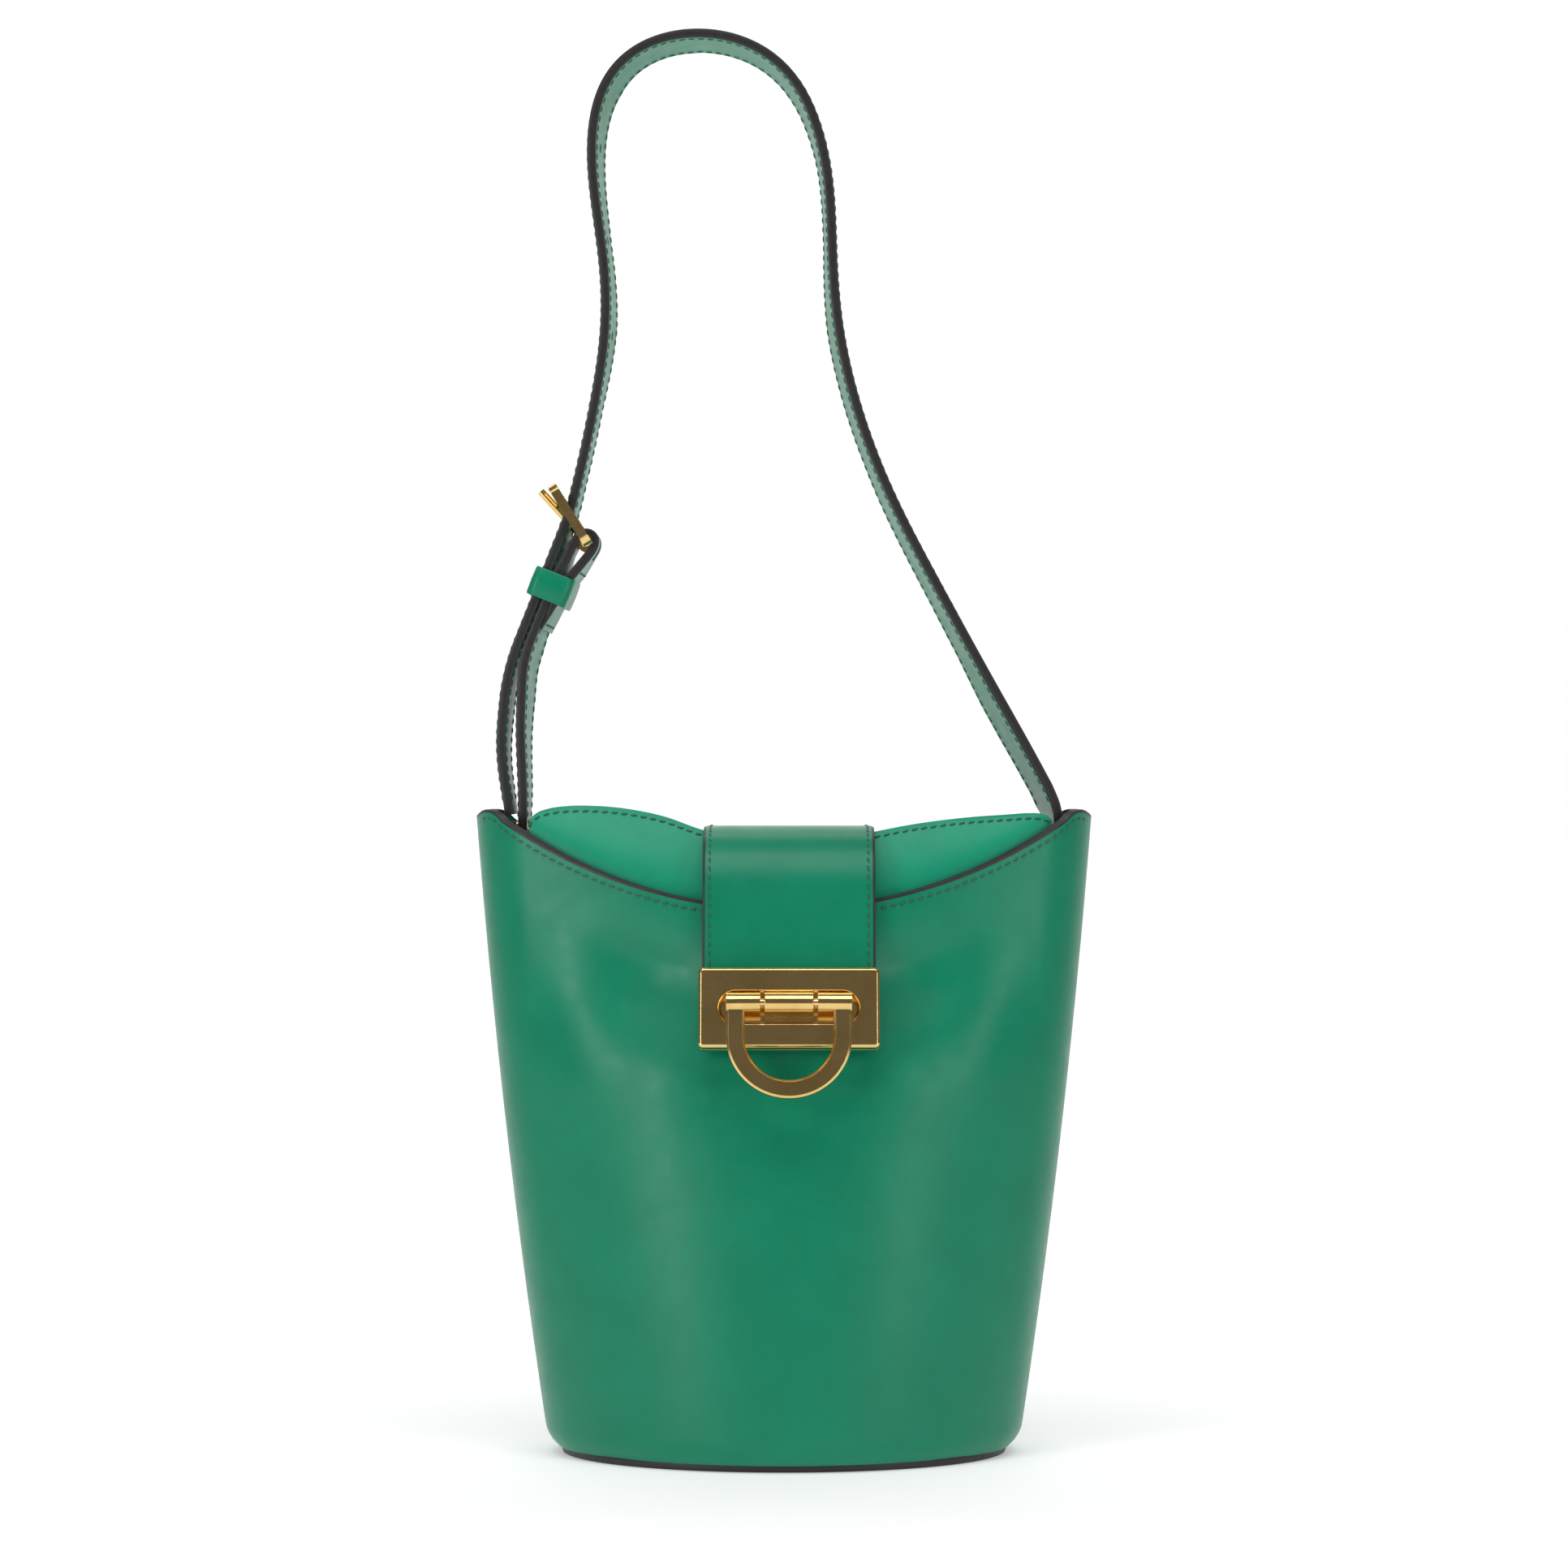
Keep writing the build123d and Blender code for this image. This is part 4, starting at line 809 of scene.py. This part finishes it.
strap, strap_normal = band("strap_leather", strap_line, STRAP_WIDTH, STRAP_THICKNESS, slide, narrow=narrow)
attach(strap, "strap")
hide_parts("strap_band")
band_stitches("strap", strap_line, strap_normal, STRAP_WIDTH, STRAP_THICKNESS, "strap", slide,
              slice(4, len(strap_line) - 20))


def hole_mark(name, x, z, direction, body):
    """A short near-black plug that shows as a punched hole on both faces of the strap: painted shade filling
    the hole, where the real hole is open.
    """
    half = STRAP_THICKNESS / 2 + 0.04
    axis = np.array([direction[0], 0, direction[1]])
    side = np.array([0.0, 1.0, 0.0])
    up = np.cross(axis, side)
    count = 24
    verts, faces = [], []
    for end in (-1, 1):
        for k in range(count):
            phi = 2 * pi * k / count
            rim = (side * cos(phi) + up * sin(phi)) * HOLE_MARK_RADIUS
            verts.append(np.array([x, 0, z]) + axis * half * end + rim)
    for k in range(count):
        k2 = (k + 1) % count
        faces.append((k, k2, count + k2, count + k))
    faces.append(tuple(reversed(range(count))))
    faces.append(tuple(count + k for k in range(count)))
    obj = mesh_object(name, verts, faces, [hole_painted_shade])
    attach(obj, body)


left_leg = np.where(strap_line[:, 0] < -30)[0]
for number, hole_z in enumerate(HOLE_HEIGHTS):
    k = left_leg[np.argmin(np.abs(strap_line[left_leg, 1] - hole_z))]
    x, z = strap_line[k] + slide[k] / 2
    hole_mark(f"strap_hole_{number + 1}", x, z, strap_normal[k], "strap")

# ---- chape: up the inner side, round the buckle's bar and back down ------------------------------
run_from, run_to = np.array(STRAP_ROUTE[2][:2]), np.array(STRAP_ROUTE[3][:2])
run_dir = (run_to - run_from) / np.linalg.norm(run_to - run_from)
in_dir = np.array([run_dir[1], -run_dir[0]])


def beside_run(z, offset):
    """Point at the height z on a line beside the strap's straight run, on its inner side."""
    return run_from + run_dir * (z - run_from[1]) / run_dir[1] + in_dir * offset


near = STRAP_THICKNESS + LAYER_GAP
far = near + STRAP_THICKNESS
LAYERS_END_Z = BAR_Z - 12.0
loop_radius = BAR_RADIUS + EYE_CLEARANCE + STRAP_THICKNESS / 2
bar = np.array([BAR_X, BAR_Z])
run_angle = atan2(run_dir[1], run_dir[0])
loop = [bar + loop_radius * np.array([cos(a), sin(a)])
        for a in np.linspace(run_angle + radians(92), run_angle - radians(118), 40)]
leg = route_line((
    (-CHAPE_LEG_X, PIVOT_Z - 10, 0), (-CHAPE_LEG_X, 204.0, 5), (-80.9, 222.0, 7),
    (*beside_run(FOLD_END_Z - 10.0, near), 6), (*beside_run(LAYERS_END_Z, near), 0),
))
down = [beside_run(z, far) for z in np.linspace(LAYERS_END_Z, FOLD_END_Z, 16)]
chape_line = resample(np.concatenate([leg, loop, down]), 0.6)
chape_line = relax(chape_line, 30, (chape_line[:, 1] < 205).astype(float))
LEAN_CHAPE = ((190, 0.0), (202, 0.7), (212, 1.0), (222, 1.5), (232, 2.2), (247, 2.7), (256, 2.0), (262, 1.3),
              (271, 1.1), (276, 0.0))
chape_slide = np.interp(chape_line[:, 1], *zip(*LEAN_CHAPE))[:, None] * in_dir[None, :]
# The folded-back end is pared thin, so that it lies down on the leg.
PARED_POINTS = 18.0
PARED_SHARE = 0.25
end_share = np.clip((len(chape_line) - 1 - np.arange(len(chape_line))) / PARED_POINTS, 0, 1)
pared = PARED_SHARE + (1 - PARED_SHARE) * end_share
chape_line = chape_line - in_dir[None, :] * ((1 - pared) * STRAP_THICKNESS / 2)[:, None]
# The slot for the prong, cut through the leather round the bar.
BAND_COLUMNS = 21
SLOT_SHARE = 0.30
cut = np.zeros((len(chape_line) - 1, BAND_COLUMNS - 1), bool)
across_mid = np.abs(np.linspace(-1, 1, BAND_COLUMNS - 1)) < SLOT_SHARE
around_bar = np.linalg.norm(chape_line[:-1] - bar, axis=1) < loop_radius + 1.2
cut[np.ix_(around_bar, across_mid)] = True
narrow = round_end(chape_line, STRAP_WIDTH, PIVOT_Z)
chape, chape_normal = band(
    "chape_leather", chape_line, STRAP_WIDTH, STRAP_THICKNESS, chape_slide, cut, narrow, pared
)
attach(chape, "strap")
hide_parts("strap_chape")
leg_part = slice(24, int(np.argmax(chape_line[:, 1] > FOLD_END_Z)))
band_stitches("chape", chape_line, chape_normal, STRAP_WIDTH, STRAP_THICKNESS, "strap", chape_slide, leg_part)
# Two rows of stitches across the folded layer, one just below the keeper's travel and one just above it.
last_part = np.arange(len(chape_line)) > len(chape_line) - 40
for number, z in enumerate((FOLD_END_Z + 1.5, BAR_Z - 5.7)):
    k = np.argmin(np.abs((chape_line - beside_run(z, far)) @ run_dir) + 1000.0 * ~last_part)
    across = np.linspace(-7.5, 7.5, 16)
    middle = chape_line[k] + chape_normal[k] * STRAP_THICKNESS / 2 * pared[k]
    middle = middle + chape_slide[k] * ((across + STRAP_WIDTH / 2) / STRAP_WIDTH)[:, None]
    row = np.column_stack([middle[:, 0], across, middle[:, 1]])
    normals = np.tile([in_dir[0], 0, in_dir[1]], (16, 1))
    stitch_row(f"chape_cross_stitches_{number + 1}", row, normals, body="strap")


# ---- keeper: a leather loop ----------------------------------------------------------------------
KEEPER_HEIGHT = 9.0
KEEPER_WALL = 1.6
KEEPER_CLEARANCE = 0.35
KEEPER_CORNER = 2.6
KEEPER_LEAN = 0.9
KEEPER_LAYERS = 3


def keeper_loop():
    """A rounded rectangular loop round the strap and the chape's two layers, square to the strap's run."""
    co = np.array([v.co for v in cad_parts["strap_keeper"].data.vertices]) / MM
    centre_x, _, centre_z = (co.min(0) + co.max(0)) / 2
    outer_x = KEEPER_LAYERS * STRAP_THICKNESS + LAYER_GAP + 2 * KEEPER_CLEARANCE + 2 * KEEPER_WALL
    outer_y = STRAP_WIDTH + 2 * KEEPER_CLEARANCE + 2 * KEEPER_WALL
    corner = KEEPER_CORNER
    outline = []
    for qx, qy, start in ((1, 1, 0), (-1, 1, pi / 2), (-1, -1, pi), (1, -1, 1.5 * pi)):
        for phi in np.linspace(start, start + pi / 2, 9):
            outline.append((
                qx * (outer_x / 2 - corner) + corner * cos(phi),
                qy * (outer_y / 2 - corner) + corner * sin(phi),
                cos(phi), sin(phi),
            ))
    outline.append(outline[0])
    outline = np.array(outline)
    # Height along the run, and how far the outside is drawn in there.
    end = KEEPER_HEIGHT / 2
    profile = [(-end, 0.25), (-end + 0.35, 0.0), (0, -0.12), (end - 0.35, 0.0), (end, 0.25)]
    grids = []
    for depth in (0.0, KEEPER_WALL):
        grid = np.zeros((len(profile), len(outline), 3))
        for i, (h, soft) in enumerate(profile):
            inset = depth + (soft if depth == 0.0 else 0.0)
            u = outline[:, 0] - outline[:, 2] * inset
            y = outline[:, 1] - outline[:, 3] * inset
            u = u + KEEPER_LEAN * (y + STRAP_WIDTH / 2) / STRAP_WIDTH
            grid[i, :, 0] = centre_x + in_dir[0] * u + run_dir[0] * h
            grid[i, :, 1] = y
            grid[i, :, 2] = centre_z + in_dir[1] * u + run_dir[1] * h
        grids.append(grid)
    return thick_sheet("keeper_leather", grids[0], grids[1], [leather, edge_paint])


keeper = keeper_loop()
weld(keeper, 0.00001)
apply_modifiers(keeper)
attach(keeper, "keeper")
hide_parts("strap_keeper")


# ---- metal pieces: the frame's own shapes with softened edges ------------------------------------
def polished_copy(node, body, bevel):
    """The node's own shape in gold, with its edges rounded by the bevel in millimetres."""
    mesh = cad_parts[node].data.copy()
    obj = bpy.data.objects.new(node + "_polished", mesh)
    bpy.context.scene.collection.objects.link(obj)
    mesh.materials.clear()
    mesh.materials.append(gold)
    mesh.polygons.foreach_set("material_index", [0] * len(mesh.polygons))
    smooth_faces(mesh)
    weld(obj, 0.000005)
    planar = obj.modifiers.new("planar", "DECIMATE")
    planar.decimate_type = "DISSOLVE"
    planar.angle_limit = radians(1.0)
    apply_modifiers(obj)
    smooth_faces(obj.data)
    rounding = obj.modifiers.new("bevel", "BEVEL")
    rounding.width = bevel * MM
    rounding.segments = 3
    rounding.limit_method = "ANGLE"
    rounding.angle_limit = radians(30.0)
    rounding.harden_normals = False
    apply_modifiers(obj)
    smooth_faces(obj.data)
    obj.data.set_sharp_from_angle(angle=radians(35))
    normals = obj.modifiers.new("normals", "WEIGHTED_NORMAL")
    normals.keep_sharp = True
    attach(obj, body)
    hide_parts(node)


for node, body, bevel in (
    ("clasp_cap", "flap", 0.25), ("clasp_tray", "flap", 0.25), ("clasp_block", "flap", 0.35),
    ("clasp_ring", "ring", 0.3), ("buckle_frame", "strap", 0.6), ("buckle_prong", "prong", 0.25),
):
    polished_copy(node, body, bevel)

# The rest of the frame's nodes stay as they are and only get a material.
for node, material in (
    ("clasp_pin", gold), ("clasp_rivets", gold), ("strap_anchor_left", gold), ("strap_anchor_right", gold),
    ("strap_screw_left", gold), ("strap_screw_right", gold), ("panel_magnet", steel), ("flap_magnet", steel),
    ("base_board", board),
):
    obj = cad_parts[node]
    obj.data.materials.clear()
    obj.data.materials.append(material)


# ---- floor, lights and camera --------------------------------------------------------------------
floor_material, tree, shader = new_material("studio_floor", (0.84, 0.84, 0.84), 0.8)
tree.links.new(
    color_between(tree, noise(tree, 6.0), (0.83, 0.83, 0.83), (0.85, 0.85, 0.85)),
    shader.inputs["Base Color"],
)
shader.inputs["Emission Color"].default_value = (1, 1, 1, 1)
shader.inputs["Emission Strength"].default_value = 0.34

# The floor curves up into a wall behind the object. Its outline is y and z.
FLOOR_HALF_WIDTH = 3000.0
FLOOR_FRONT = -2600.0
SWEEP_START = 700.0
SWEEP_RADIUS = 900.0
WALL_TOP = 2600.0
sweep = [(FLOOR_FRONT, 0.0)]
for turn in np.linspace(0, pi / 2, 25):
    sweep.append((SWEEP_START + SWEEP_RADIUS * sin(turn), SWEEP_RADIUS * (1 - cos(turn))))
sweep.append((SWEEP_START + SWEEP_RADIUS, WALL_TOP))
points = [(x, y, z) for y, z in sweep for x in (-FLOOR_HALF_WIDTH, FLOOR_HALF_WIDTH)]
faces = [(2 * k, 2 * k + 1, 2 * k + 3, 2 * k + 2) for k in range(len(sweep) - 1)]
floor = mesh_object("floor", points, faces, [floor_material], angle=60)


def softbox(name, place, target, width, height, power):
    """A rectangular soft light that faces its target, in metres and watts."""
    data = bpy.data.lights.new(name, "AREA")
    data.shape = "RECTANGLE"
    data.size, data.size_y = width, height
    data.energy = power
    obj = bpy.data.objects.new(name, data)
    obj.location = place
    obj.rotation_euler = (Vector(target) - Vector(place)).to_track_quat("-Z", "Y").to_euler()
    bpy.context.scene.collection.objects.link(obj)


AIM = (0, 0, 0.14)
softbox("left_box", (-0.85, -1.0, 0.30), AIM, 0.28, 0.9, 5.2)
softbox("right_box", (0.95, -1.0, 0.30), AIM, 0.28, 0.9, 3.4)
softbox("top_box", (0, -0.5, 1.3), AIM, 1.3, 0.8, 9.5)
softbox("floor_wash", (0, 0.9, 1.6), (0, 1.3, 0.3), 2.6, 0.6, 9)

world = bpy.data.worlds.new("studio")
bpy.context.scene.world = world
world.use_nodes = True
background = world.node_tree.nodes["Background"]
background.inputs["Color"].default_value = (1, 1, 1, 1)
background.inputs["Strength"].default_value = 0.14

# The camera looks level along +Y, and its view is FRAME_WIDTH wide at the object's middle.
CAMERA_DISTANCE = 1.5
CAMERA_HEIGHT = 0.2052
FRAME_WIDTH = 0.483
SENSOR = 36.0
camera_data = bpy.data.cameras.new("camera")
camera_data.sensor_width = SENSOR
camera_data.lens = SENSOR * CAMERA_DISTANCE / FRAME_WIDTH
camera_data.clip_end = 50
camera = bpy.data.objects.new("camera", camera_data)
camera.location = (0, -CAMERA_DISTANCE, CAMERA_HEIGHT)
camera.rotation_euler = (pi / 2, 0, 0)
bpy.context.scene.collection.objects.link(camera)
bpy.context.scene.camera = camera
bpy.context.scene.view_settings.view_transform = "Standard"

bpy.context.view_layer.update()
